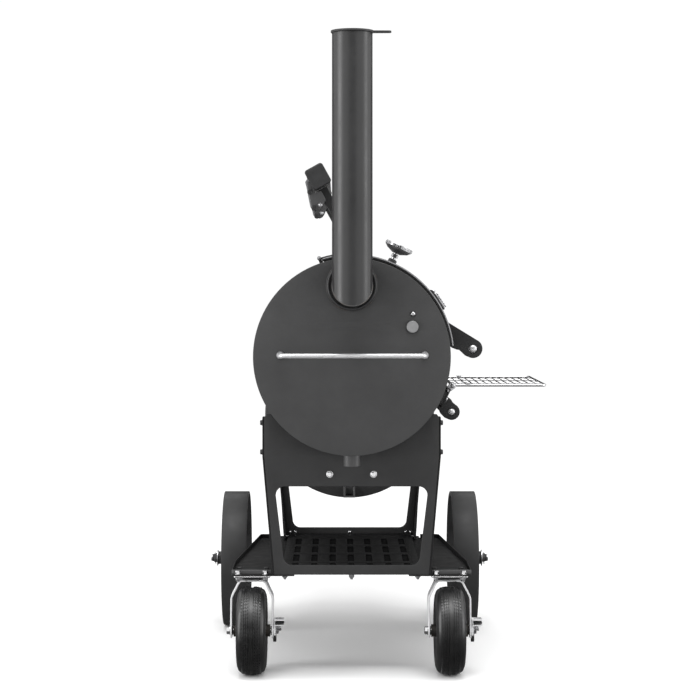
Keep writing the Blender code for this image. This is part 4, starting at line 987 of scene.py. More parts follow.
for s_, w in ((-0.010, 0.0017), (-0.002, 0.0022), (0.0, 0.0024),
              (0.027, 0.0005)):
    sec.append([m @ Vector(p) for p in ((s_, w, 0.0016), (s_, -w, 0.0016),
                                        (s_, -w * 0.6, 0.0026),
                                        (s_, w * 0.6, 0.0026))])
needle.append(loft(sec))
needle.append(revolve(tb + tu * 0.0154, tu, [(0, 0.0022), (0.0026, 0.0020),
                                             (0.0034, 0.0012), (0.0034, 0),
                                             (0, 0)], 32))
piece("gauge_needle", needle, "thermometer_pointer", "ink",
      ["thermometer_needle"])
piece("gauge_glass", revolve(tb + tu * 0.0210, tu, [
    (0, 0.0022), (0.0150, 0.0021), (0.0300, 0.0017), (0.0347, 0.0014),
    (0.0347, 0), (0, 0)], 72), "chamber_door", "glass",
      ["thermometer_glass"])

# ----------------------------------------------------------------- emblem --
EA, EY = 57.0, 0.118
eu = Vector((math.sin(math.radians(EA)), 0, math.cos(math.radians(EA))))
es = Vector((eu.z, 0, -eu.x))
et = Matrix.Translation(Vector((0, EY, DRUM_Z))) @ Matrix(
    ((es.x, 0, eu.x, 0), (0, 1, 0, 0), (es.z, 0, eu.z, 0), (0, 0, 0, 1)))
piece("emblem_base", box((-0.0300, -0.050, R0 + 0.0004),
                         (0.0300, 0.050, R0 + 0.0050), et), "chamber_door",
      "dark", ["emblem_plate"], bevel=0.0015)
ribs = [box((-0.0150, -0.038, R0 + 0.0046), (0.0275, 0.038, R0 + 0.0075), et)]
for i in range(6):
    a = -0.0140 + 0.0072 * i
    ribs.append(box((a, -0.036, R0 + 0.0070), (a + 0.0046, 0.036,
                                              R0 + 0.0124), et))
piece("emblem_ribs", ribs, "chamber_door", "zinc",
      bevel=0.0009)
boss = []
for y in (-0.040, 0.040):
    p = et @ Vector((-0.0248, y, R0 + 0.0048))
    boss.append(dome(p, eu, 0.0046, 0.0062))
piece("emblem_studs", boss, "chamber_door", "zinc")

# ---------------------------------------------------------- counterweight --
CWX, CWZ, CW_Y0, CW_Y1 = -0.088, 1.3045, 0.075, 0.837
HA, HB = 0.0270, 0.0245
cu_ = Vector((0.4848, 0, -0.8746))
cv_ = Vector((-0.8746, 0, -0.4848))
cw = Matrix(((cu_.x, 0, cv_.x, CWX), (0, 1, 0, 0), (cu_.z, 0, cv_.z, CWZ),
             (0, 0, 0, 1)))


def prism_y(loop, y0, y1, mt):
    """Outline in a tilted plane, carried along Y."""
    bm = loft([[mt @ Vector((a, y, b)) for a, b in loop] for y in (y0, y1)])
    return bm


piece("weight_tube", prism_y(rounded(-HA, -HB, HA, HB, 0.0055, 6), CW_Y0,
                             CW_Y1, cw), "chamber_door", "weight",
      ["counterweight_tube"])
for t, ya, yb in (("near", CW_Y0 - 0.0053, CW_Y0 - 0.0001),
                  ("far", CW_Y1 + 0.0001, CW_Y1 + 0.0053)):
    yi = (ya + 0.0016, yb) if t == "near" else (ya, yb - 0.0016)
    piece("weight_cap_" + t, prism_y(rounded(-0.0290, -0.0263, 0.0290, 0.0263,
                                             0.0078, 7), yi[0], yi[1], cw),
          "chamber_door", "ink",
          ["counterweight_cap_" + t], bevel=0.0014, bseg=3)
    yf = (ya, ya + 0.0022) if t == "near" else (yb - 0.0022, yb)
    piece("weight_cap_face_" + t,
          prism_y(rounded(-0.0268, -0.0241, 0.0268, 0.0241, 0.0060, 7),
                  yf[0], yf[1], cw), "chamber_door", "plastic",
          bevel=0.0009, bseg=3)


def on_drum(b, rad, y):
    """Distance along the arm at which it meets the door's plate."""
    o = Vector((CWX, 0, CWZ)) + cv_ * b - Vector((0, 0, DRUM_Z))
    p = o.dot(cu_)
    q = o.length_squared - rad * rad
    return -p - math.sqrt(max(p * p - q, 0.0))


base = soft_corners([(-0.0120, HB + 0.0002), (-0.0065, 0.0358),
                     (0.0080, 0.0394), (0.0321, 0.0475), (0.0577, 0.0556),
                     (0.0745, 0.0520)],
                    [0, 0.006, 0.010, 0, 0.010, 0.001], 4)
base += soft_corners([(0.0735, 0.0470), (0.0560, 0.0504), (0.0300, 0.0420),
                      (0.0060, 0.0342), (-0.0020, 0.0310),
                      (-0.0020, HB + 0.0002)],
                     [0.001, 0.006, 0, 0.008, 0.004, 0], 4)
side = soft_corners([(-0.0040, HB + 0.0014), (-0.0040, 0.0312),
                     (0.0060, 0.0350), (0.0300, 0.0430), (0.0562, 0.0510),
                     (0.0720, 0.0480), (0.0762, 0.0430), (0.0762, 0.0340),
                     (0.0720, 0.0260), (0.0600, 0.0100), (0.0330, 0.0100),
                     (0.0330, HB + 0.0014)],
                    [0.002, 0.002, 0.003, 0, 0.004, 0.006, 0.006, 0.008,
                     0.010, 0.008, 0.002, 0.002], 4)


for t, y in (("near", 0.150), ("far", 0.762)):
    piece("weight_bracket_%s" % t, prism_y(base, y - 0.0218, y + 0.0218, cw),
          "chamber_door", "galv", ["weight_bracket_" + t],
          bevel=0.0007)
    parts = [prism_y(side, ya, yb, cw) for ya, yb in (
        (y - 0.0222, y - 0.0182), (y + 0.0182, y + 0.0222))]
    piece("weight_flange_%s" % t, parts, "chamber_door", "bracket",
          bevel=0.0007)
    e1 = on_drum(-0.0085, R0 + 0.0003, y)
    e2 = on_drum(0.0165, R0 + 0.0003, y)
    sec = []
    for a1_, a2_ in ((0.0303, 0.0303), (e1, e2)):
        sec.append([cw @ Vector((a1_, y - 0.0190, -0.0085)),
                    cw @ Vector((a1_, y + 0.0190, -0.0085)),
                    cw @ Vector((a2_, y + 0.0190, 0.0165)),
                    cw @ Vector((a2_, y - 0.0190, 0.0165))])
    piece("weight_arm_" + t, loft(sec), "chamber_door", "weight",
          bevel=0.0014)
    wl = []
    for b_, e_ in ((-0.0093, e1), (0.0173, e2)):
        wl.append(bead([cw @ Vector((e_ - 0.0006, y + s * 0.0190, b_))
                        for s in (-1, -0.5, 0, 0.5, 1)], 0.0026))
    piece("weight_weld_" + t, wl, "chamber_door", "weld")
    bolts = []
    for a, b in ((0.0225, 0.0372), (0.0655, 0.0480)):
        for ya, s in ((y - 0.0222, -1), (y + 0.0222, 1)):
            bolts += bolt_set(cw @ Vector((a, ya, b)), (0, s, 0), 0.0125,
                              0.0058, 0.0072, 0.0012, 0.3)
    piece("weight_bolts_" + t, bolts, "chamber_door", "dark")
    piv = []
    for ya, s in ((y - 0.0222, -1), (y + 0.0222, 1)):
        piv.append(washer(cw @ Vector((0.0660, ya, 0.0300)), (0, s, 0),
                          0.0060, 0.0010))
        piv.append(dome(cw @ Vector((0.0660, ya + s * 0.0010, 0.0300)),
                        (0, s, 0), 0.0042, 0.0036))
    piece("weight_pivot_" + t, piv, "chamber_door", "zinc")

# --------------------------------------------- fire door, damper and latch --
fp = rounded(-0.150, 0.475, 0.150, 0.755, 0.025)
piece("fire_seal", plate([rounded(-0.146, 0.479, 0.146, 0.751, 0.022),
                          rounded(-0.130, 0.495, 0.130, 0.735, 0.015)],
                         'XZ', FY + 0.0025, 0.0038, 0.0012, 2), "fire_door",
      "rope", ["fire_door_gasket"])
DZ = 0.600


def wedge(cx, cz, r0, r1, a, hw, n=14):
    return soft_corners(circle(cx, cz, r1, n, a - hw, a + hw, True)
                        + circle(cx, cz, r0, n, a + hw, a - hw, True),
                        0.0)


holes = [wedge(0, DZ, 0.020, 0.062, a, 22) for a in (0, 90, 180, 270)]
piece("fire_door_plate", plate([fp] + holes
                               + [circle(0.118, 0.655, 0.0066, 24)], 'XZ',
                               FY + 0.0077, 0.006, 0.0010, 2), "fire_door",
      "coat", ["fire_door"])
lugs, ears = [], []
for z in (0.535, 0.695):
    lugs.append(box((-0.1640, FY + 0.0109, z - 0.0155),
                    (-0.100, FY + 0.0147, z + 0.0155)))
    lugs.append(revolve((-0.172, FY + 0.0165, z - 0.0162), (0, 0, 1),
                        [(0.0038, 0.0324), (0.0078, 0.0324),
                         (0.0085, 0.0317), (0.0085, 0.0007), (0.0078, 0),
                         (0.0038, 0)], 40, True))
piece("fire_door_knuckles", lugs, "fire_door", "dark",
      bevel=0.0006)
s = []
for z in (0.535, 0.695):
    for x in (-0.145, -0.116):
        s += bolt_set((x, FY + 0.0147, z), (0, 1, 0), 0.0110, 0.0050, 0.0080,
                      0.0012, 0.4)
piece("fire_door_bolts", s, "fire_door", "zinc")
for z in (0.5090, 0.5610, 0.6690, 0.7210):
    ears.append(box((-0.1760, FY + 0.0002, z - 0.0078),
                    (-0.1660, FY + 0.0160, z + 0.0078)))
    ears.append(cyl((-0.172, FY + 0.0165, z - 0.0083),
                    (-0.172, FY + 0.0165, z + 0.0083), 0.0080, 40, 0.0007))
piece("fire_door_ears", ears, "cart", "dark", bevel=0.0005)
piece("fire_door_pin", [cyl((-0.172, FY + 0.0165, 0.498),
                            (-0.172, FY + 0.0165, 0.731), 0.0036, 24, 0.0006),
                        dome((-0.172, FY + 0.0165, 0.7293), (0, 0, 1),
                             0.0062, 0.0035)], "cart", "zinc")
tab = soft_corners(circle(0, DZ, 0.072, 90, 6, 354, True)
                   + [(0.098, DZ - 0.0075), (0.104, DZ - 0.004),
                      (0.104, DZ + 0.004), (0.098, DZ + 0.0075)], 0.0)
dh = [wedge(0, DZ, 0.022, 0.060, a, 20) for a in (45, 135, 225, 315)]
piece("air_dial", plate([tab, circle(0, DZ, 0.0055, 32)] + dh, 'XZ',
                        FY + 0.0110 + 0.0015, 0.003, 0.0006, 2),
      "air_damper", "steel", ["air_damper"])
piece("air_dial_bolt", [cyl((0, FY + 0.0006, DZ), (0, FY + 0.0150, DZ),
                            0.0050, 32),
                        washer((0, FY + 0.0142, DZ), (0, 1, 0), 0.0105,
                               0.0014)]
      + [hexhead((0, FY + 0.0156, DZ), (0, 1, 0), 0.0150, 0.0060, 0.2)],
      "fire_door", "zinc", ["air_damper_bolt"])
piece("air_dial_knob", [cyl((0.092, FY + 0.0138, DZ),
                            (0.092, FY + 0.0210, DZ), 0.0030, 20),
                        dome((0.092, FY + 0.0190, DZ), (0, 1, 0), 0.0068,
                             0.0080)], "air_damper", "steel")
LZ, LXX = 0.655, 0.118
piece("latch_lever", plate([soft_corners(
    circle(LXX, LZ, 0.0150, 40, 80, 260, True)
    + [(0.200, LZ - 0.0080), (0.206, LZ - 0.0040), (0.206, LZ + 0.0050),
       (0.200, LZ + 0.0090)], 0.0)], 'XZ', FY + 0.0110 + 0.0025, 0.005,
    0.0009, 2), "fire_latch", "dark", ["fire_latch_lever"])
d = Vector((0, 0.036, -0.020)).normalized()
p0 = Vector((LXX, FY + 0.024, LZ))
p1 = Vector((LXX, FY + 0.060, LZ - 0.020))
piece("latch_stem", [cyl((LXX, FY + 0.0032, LZ), (LXX, FY + 0.0290, LZ),
                         0.0060, 32, 0.0008),
                     pipe_path([(LXX, FY + 0.0240, LZ), p0 + d * 0.012, p1,
                                p1 + d * 0.066], 0.0046, 24)], "fire_latch",
      "zinc")
# spring-wire grip: a close coil that stays cool
coil = []
turns, L_ = 13, 0.060
u = d.orthogonal().normalized()
v = d.cross(u)
for i in range(turns * 20 + 1):
    f = i / (turns * 20)
    a = 2 * math.pi * turns * f
    rr = 0.0088 + 0.0022 * math.sin(math.pi * f)
    coil.append(p1 + d * (0.0035 + L_ * f) + u * rr * math.cos(a)
                + v * rr * math.sin(a))
piece("latch_spring_grip", [pipe_path(coil, 0.00155, 8),
                            dome(p1 + d * 0.0640, d, 0.0080, 0.0035)],
      "fire_latch", "steel")
piece("latch_keeper", [box((0.166, FY + 0.0002, LZ - 0.0218),
                           (0.186, FY + 0.0235, LZ - 0.0132)),
                       box((0.1665, FY + 0.0188, LZ - 0.0150),
                           (0.1855, FY + 0.0234, LZ - 0.0042))], "cart",
      "dark", bevel=0.0008)

# ------------------------------------------------------------ inside parts --
gz = DRUM_Z - 0.057 + 0.0003
bars = [box((-0.2185, 0.040, gz), (-0.2125, 0.874, gz + 0.006)),
        box((0.2125, 0.040, gz), (0.2185, 0.874, gz + 0.006)),
        box((-0.2125, 0.040, gz), (0.2125, 0.046, gz + 0.006)),
        box((-0.2125, 0.868, gz), (0.2125, 0.874, gz + 0.006))]
piece("cooking_grate_frame", bars, "cart", "iron",
      ["cooking_grate"], bevel=0.0008)
rods = []
for i in range(27):
    x = -0.2035 + 0.407 * i / 26
    rods.append(cyl((x, 0.045, gz + 0.0040), (x, 0.869, gz + 0.0040), 0.0020,
                    12))
for j in range(5):
    y = 0.0455 + 0.823 * (j + 0.5) / 5
    rods.append(box((-0.2130, y - 0.0040, gz + 0.0001),
                    (0.2130, y + 0.0040, gz + 0.0030)))
piece("cooking_grate_rods", rods, "cart", "iron")
BX, BZ0 = 0.165, DRUM_Z - 0.180
piece("baffle_sheet", plate([[(-BX, 0.620), (BX, 0.620), (BX, 0.900),
                              (-BX, 0.900)], circle(-0.08, 0.680, 0.012, 32),
                             circle(0.08, 0.680, 0.012, 32),
                             circle(0, 0.760, 0.012, 32)], 'XY', BZ0, 0.004,
                            0.0008), "cart", "iron",
      ["heat_baffle"])
fb = [box((-0.178, 0.940, 0.4650), (-0.170, 1.340, 0.4730)),
      box((0.170, 0.940, 0.4650), (0.178, 1.340, 0.4730)),
      box((-0.170, 0.940, 0.4650), (0.170, 0.950, 0.4730)),
      box((-0.170, 1.330, 0.4650), (0.170, 1.340, 0.4730)),
      box((-0.170, 1.1330, 0.4650), (0.170, 1.1470, 0.4730))]
for i in range(12):
    x = -0.1583 + 0.0288 * i
    fb.append(box((x - 0.0055, 0.948, 0.4655), (x + 0.0055, 1.332, 0.4726)))
piece("fire_grate_bars", fb, "cart", "iron", ["fire_grate"],
      bevel=0.0008)

# ------------------------------------------------------------ cart frames --
FRAME_T = 0.006


def leg_x(z, nr):
    if z >= 0.572:
        return 0.234 - nr
    return 0.207 - nr + (0.234 - 0.207) * (z - 0.263) / (0.572 - 0.263)


def leg_frame(tag, y0, inward, node, nr=0.0):
    """Bent plate: a front face with a window, side flanges and a foot."""
    zt = 0.684
    rr = 0.2547
    xs = math.sqrt(rr ** 2 - (DRUM_Z - zt) ** 2)
    a = math.degrees(math.asin(xs / rr))
    n = 60
    saddle = [(rr * math.sin(math.radians(-a + 2 * a * i / n)),
               DRUM_Z - rr * math.cos(math.radians(-a + 2 * a * i / n)))
              for i in range(n + 1)]
    e = 0.0052
    right = soft_corners([saddle[-1], (0.223 - nr, zt),
                          (0.234 - e - nr, zt - 0.008),
                          (0.234 - e - nr, 0.572),
                          (0.207 - e - nr, 0.2634), (0.0, 0.2634)],
                         [0, 0.003, 0.003, 0.012, 0, 0], 6)[1:-1]
    left = [(-x, z) for x, z in reversed(right)]
    outline = saddle + right + left
    wt, wb, r = 0.4946, 0.289, 0.023
    window = []
    wa, wc = 0.1985 - nr * 0.7, 0.179 - nr * 0.7
    for cx, cz, b0 in ((wa - r, wt - r, 0), (-wa + r, wt - r, 90),
                       (-wc + r, wb + r, 180), (wc - r, wb + r, 270)):
        window += circle(cx, cz, r, 10, b0, b0 + 90, True)
    loops = [outline, window]
    piece(tag + "_face", plate(loops, 'XZ', y0 + FRAME_T / 2, FRAME_T, 0.0016,
                               2), "cart", "frame", [node])
    yb = y0 + FRAME_T / 2 - inward * (FRAME_T / 2 - 0.0003)
    sides = []
    for s in (-1, 1):
        secs = []
        for z, dep in ((0.2637, 0.098), (0.280, 0.0965), (0.300, 0.0920),
                       (0.318, 0.0790), (0.338, 0.0600), (0.358, 0.0460),
                       (0.380, 0.0395), (0.420, 0.0368), (0.572, 0.034),
                       (0.668, 0.034), (0.6735, 0.0322), (0.6760, 0.0290)):
            xo = s * (leg_x(z, nr) - 0.0003)
            xi = s * (leg_x(z, nr) - 0.0053)
            ye = yb + inward * (dep + 0.0031)
            secs.append([(xo, yb, z), (xi, yb, z), (xi, ye, z), (xo, ye, z)])
        sides.append(loft(secs))
    ym = y0 + FRAME_T / 2
    lo = (-0.180, min(ym, ym + inward * 0.035), 0.26365)
    hi = (0.180, max(ym, ym + inward * 0.035), 0.2669)
    sides.append(box(lo, hi))
    # the side flanges and the foot take the darker deck coat while the face takes
    # the frame coat, though they are one bent plate: the dark strips beside the
    # face are painted shade
    piece(tag + "_flanges", sides, "cart", "deck",
          bevel=0.0010)
    # saddle welds and the bolts of the near and far faces
    yo = y0 if inward > 0 else y0 + FRAME_T
    piece(tag + "_saddle_weld",
          [bead([(x * 1.0, yo - inward * 0.0004, z) for x, z in saddle[6:-6]],
                0.0020)], "cart", "weld")
    bolts = []
    for x in (-0.0575, 0.0575):
        bolts += bolt_set((x, yo, 0.5265), (0, -inward, 0), 0.0135, 0.0062,
                          0.0090, 0.0014, 0.3)
    piece(tag + "_face_bolts", bolts, "cart", "chrome")
    side_bolts = []
    for s in (-1, 1):
        for z in (0.6605, 0.5836):
            y = yb + inward * 0.018
            side_bolts += bolt_set((s * (0.2337 - nr), y, z), (s, 0, 0),
                                   0.0125, 0.0052, 0.0085, 0.0012, 0.5)
    piece(tag + "_side_bolts", side_bolts, "cart", "dark")


leg_frame("frame_near", 0.100, 1, "leg_frame_near")
leg_frame("frame_far", 0.879, -1, "leg_frame_far", 0.011)

slots = []
for i in range(7):
    for y in (0.200, 0.367, 0.534, 0.701):
        x = (i - 3) * 0.050
        slots.append(rounded(x - 0.0088, y - 0.064, x + 0.0088, y + 0.064,
                             0.003, 3))
DECK_Z = 0.2673
piece("deck_plate", plate([[(-0.184, 0.1066), (0.184, 0.1066),
                            (0.184, 0.8784), (-0.184, 0.8784)]] + slots,
                          'XY', DECK_Z + 0.0018, 0.003, 0.0007, 1), "cart",
      "deck", ["deck_tray"])
# near-black matte sheet just under the deck: seen through the slots it is painted
# shade that makes them read black
piece("deck_pan", box((-0.1765, 0.1420, 0.2648), (0.1765, 0.8370, 0.2672)),
      "cart", "pan", bevel=0.0006)
rail = []
for x in (-0.175, 0.0, 0.174):
    rail += bolt_set((x, 0.118, 0.2634), (0, 0, -1), 0.0125, 0.0085, 0.0095,
                     0.0014, 0.4)
    rail.append(cyl((x, 0.118, 0.2565), (x, 0.118, 0.2490), 0.0038, 16,
                    0.0006))
piece("deck_bolts_under", rail, "cart", "galv")
rail = []
for x in (-0.1805, -0.1654, 0.0, 0.1698, 0.1849):
    rail.append(washer((x, 0.8789, 0.2752), (0, -1, 0), 0.0052, 0.0008))
    rail.append(dome((x, 0.8781, 0.2752), (0, -1, 0), 0.0040, 0.0026))
piece("deck_bolts_far", rail, "cart", "chrome")

for t, s in (("back", -1), ("front", 1)):
    pts = [(0.150, 0.100), (0.315, 0.100), (0.315, 0.290), (0.267, 0.847),
           (0.2085, 0.847), (0.2085, 0.885), (0.150, 0.885)]
    pts = soft_corners([(s * x, y) for x, y in pts],
                       [0, 0.004, 0.006, 0.012, 0.002, 0.002, 0], 5)
    w = [plate([pts], 'XY', 0.26115, 0.0030, 0.0008, 1)]
    piece("wing_plate_" + t, w, "cart", "deck",
          ["wing_" + t])
    x0, x1 = sorted((s * 0.2110, s * 0.3146))
    lip = [box((x0, 0.1200, 0.2625), (x1, 0.1230, 0.2735))]
    piece("wing_lip_" + t, lip, "cart", "bracket",
          bevel=0.0008)
    out = [(0.3147, 0.1205), (0.3147, 0.2900), (0.2667, 0.8467),
           (0.2110, 0.8467), (0.2110, 0.8440), (0.2642, 0.8440),
           (0.3120, 0.2897), (0.3120, 0.1205)]
    out = soft_corners(out, [0, 0.006, 0.010, 0, 0, 0.008, 0.004, 0], 5)
    piece("wing_rim_" + t, loft([[(s * x, y, z) for x, y in out]
                                 for z in (0.2622, 0.2733)]), "cart", "deck",
          bevel=0.0007)
    hang = plate([circle(AXLE_Y, AXLE_Z, 0.022, 40, 180, 360, True)
                  + [(AXLE_Y + 0.0140, 0.2597), (AXLE_Y - 0.0300, 0.2597)],
                  circle(AXLE_Y, AXLE_Z, 0.0104, 40)], 'YZ', s * 0.176,
                 0.010, 0.0010, 2)
    piece("axle_hanger_" + t, hang, "cart", "frame")

# -------------------------------------------------- rear axle and wheels ---
piece("axle_bar", [cyl((-0.4163, AXLE_Y, AXLE_Z), (0.4163, AXLE_Y, AXLE_Z),
                       0.0100, 48, 0.0012)], "cart", "zinc",
      ["rear_axle"])
WR, WX0, WX1 = 0.199, 0.3025, 0.376
for t, s in (("back", -1), ("front", 1)):
    body = "rear_wheel_" + t
    W = WX1 - WX0
    xa = min(s * WX0, s * WX1)
    c = 0.0014
    piece("wheel_band_" + t, revolve((xa, AXLE_Y, AXLE_Z), (1, 0, 0), [
        (WR - c, W), (WR - 0.3 * c, W - 0.3 * c), (WR, W - c), (WR, c),
        (WR - 0.3 * c, 0.3 * c), (WR - c, 0), (WR - 0.008 + c, 0),
        (WR - 0.008, c), (WR - 0.008, W - c), (WR - 0.008 + c, W)], 160,
        True), body, "wheel", ["rear_wheel_" + t])
    ha, hb = sorted((s * 0.286, s * 0.395))
    piece("wheel_hub_" + t, revolve((ha, AXLE_Y, AXLE_Z), (1, 0, 0), [
        (0.0104, hb - ha), (0.0178, hb - ha), (0.0190, hb - ha - 0.0012),
        (0.0190, 0.0012), (0.0178, 0), (0.0104, 0)], 56, True), body,
        "wheel")
    sp, wl = [], []
    for k in range(8):
        a = math.radians(k * 45 + 22.5)
        m = Matrix.Translation((0, AXLE_Y, AXLE_Z)) @ Matrix.Rotation(
            a, 4, 'X')
        sp.append(box((s * 0.339 - 0.0045, -0.0175, 0.0182),
                      (s * 0.339 + 0.0045, 0.0175, WR - 0.0078), turn=m))
        for q in (-1, 1):
            wl.append(bead([m @ Vector((s * 0.339 + q * 0.0052, -0.0165 +
                                        0.0055 * i, WR - 0.0086))
                            for i in range(7)], 0.0022))
    piece("wheel_spokes_" + t, sp, body, "wheel",
          bevel=0.0012)
    piece("wheel_welds_" + t, wl, body, "weld")
    o = s * 0.3955
    sg = Vector((s, 0, 0))
    piece("axle_washer_" + t, [washer(Vector((o, AXLE_Y, AXLE_Z)), sg,
                                      0.0245, 0.0026, 56)], "cart", "zinc")
    piece("axle_nut_" + t, [hexhead(Vector((o + s * 0.0028, AXLE_Y, AXLE_Z)),
                                    sg, 0.0242, 0.0100, 0.3),
                            dome(Vector((o + s * 0.0120, AXLE_Y, AXLE_Z)),
                                 sg, 0.0112, 0.0088, 40)], "cart", "dark",
          ["axle_cap_" + t])
    # cotter pin through the nut
    cot = []
    x = o + s * 0.0085
    for q in (-1, 1):
        cot.append(pipe_path([(x + q * 0.0009, AXLE_Y, AXLE_Z + 0.016),
                              (x + q * 0.0009, AXLE_Y, AXLE_Z - 0.013),
                              (x + q * 0.0020, AXLE_Y, AXLE_Z - 0.019)],
                             0.0011, 10))
    piece("axle_cotter_" + t, cot, "cart", "zinc")


# ---------------------------------------------------------------- casters --
def spline_rows(rows, n):
    """Carry rows of points along a smooth curve through each."""
    out = []
    k = len(rows)
    for i in range(k - 1):
        p0, p1, p2, p3 = (rows[max(i - 1, 0)], rows[i], rows[i + 1],
                          rows[min(i + 2, k - 1)])
        for j in range(n):
            t = j / n
            row = []
            for a, b, c_, d_ in zip(p0, p1, p2, p3):
                a, b, c_, d_ = (Vector(q) for q in (a, b, c_, d_))
                m1 = (c_ - a) * 0.5
                m2 = (d_ - b) * 0.5
                h = (c_ - b).length
                if m1.length > 1.2 * h:
                    m1 = m1.normalized() * 1.2 * h
                if m2.length > 1.2 * h:
                    m2 = m2.normalized() * 1.2 * h
                t2, t3 = t * t, t * t * t
                row.append((2 * t3 - 3 * t2 + 1) * b + (t3 - 2 * t2 + t) * m1
                           + (-2 * t3 + 3 * t2) * c_ + (t3 - t2) * m2)
            out.append(row)
    out.append([Vector(q) for q in rows[-1]])
    return out


def tyre_tread(cx):
    """Side ribs, centre rib and rows of small sawtooth blocks."""
    hw = 0.039
    half = [(0.0560, hw - 0.0100), (0.0575, hw - 0.0070),
            (0.0640, hw - 0.0040), (0.0720, hw - 0.0012),
            (0.0800, hw - 0.0002), (0.0880, hw - 0.0004),
            (0.0945, hw - 0.0014), (0.0985, hw - 0.0032),
            (0.1000, hw - 0.0036), (0.1030, hw - 0.0048),
            (0.1060, hw - 0.0072), (0.1082, hw - 0.0104),
            (0.1096, hw - 0.0140), (0.1098, hw - 0.0150)]
    ribs = []
    # tread crown: ribs parted by narrow grooves
    edges = [0.0232, 0.0188, 0.0172, 0.0130, 0.0114, 0.0078, 0.0062, 0.0040]

    def crown(xx):
        return 0.1141 - 0.0026 * (xx / 0.0235) ** 2
    for i in range(0, len(edges), 2):
        a, b = edges[i], edges[i + 1]
        ribs += [(crown(a) - 0.0024, a + 0.0004), (crown(a), a),
                 (crown(b), b), (crown(b) - 0.0024, b - 0.0004)]
    half += ribs
    prof = [(r, h) for r, h in half] + [(r, -h) for r, h in reversed(half)]
    return revolve((cx, CAX_Y, CAX_Z), (1, 0, 0), prof, 128, True)


def tread_blocks(cx):
    bm = bmesh.new()
    n = 72
    for row, (x0, x1, r) in enumerate(((0.0074, 0.0118, 0.1132),
                                       (-0.0118, -0.0074, 0.1132),
                                       (0.0126, 0.0176, 0.1124),
                                       (-0.0176, -0.0126, 0.1124),
                                       (0.0184, 0.0250, 0.1106),
                                       (-0.0250, -0.0184, 0.1106))):
        for i in range(n):
            a = 2 * math.pi * (i + 0.5 * (row % 2)) / n
            da = 2 * math.pi / n * 0.27
            sk = 0.22 * 2 * math.pi / n * (1 if x0 > 0 else -1)
            vs = []
            for rr in (r - 0.0024, r + 0.0012):
                for xx, aa in ((x0, a - da - sk), (x1, a - da + sk),
                               (x1, a + da + sk), (x0, a + da - sk)):
                    vs.append(bm.verts.new((
                        cx + xx, CAX_Y + rr * math.cos(aa),
                        CAX_Z + rr * math.sin(aa))))
            q = vs
            bm.faces.new((q[4], q[5], q[6], q[7]))
            for u_, v_ in ((0, 1), (1, 2), (2, 3), (3, 0)):
                bm.faces.new((q[u_], q[v_], q[v_ + 4], q[u_ + 4]))
            bm.faces.new((q[3], q[2], q[1], q[0]))
    bmesh.ops.recalc_face_normals(bm, faces=bm.faces)
    return bm


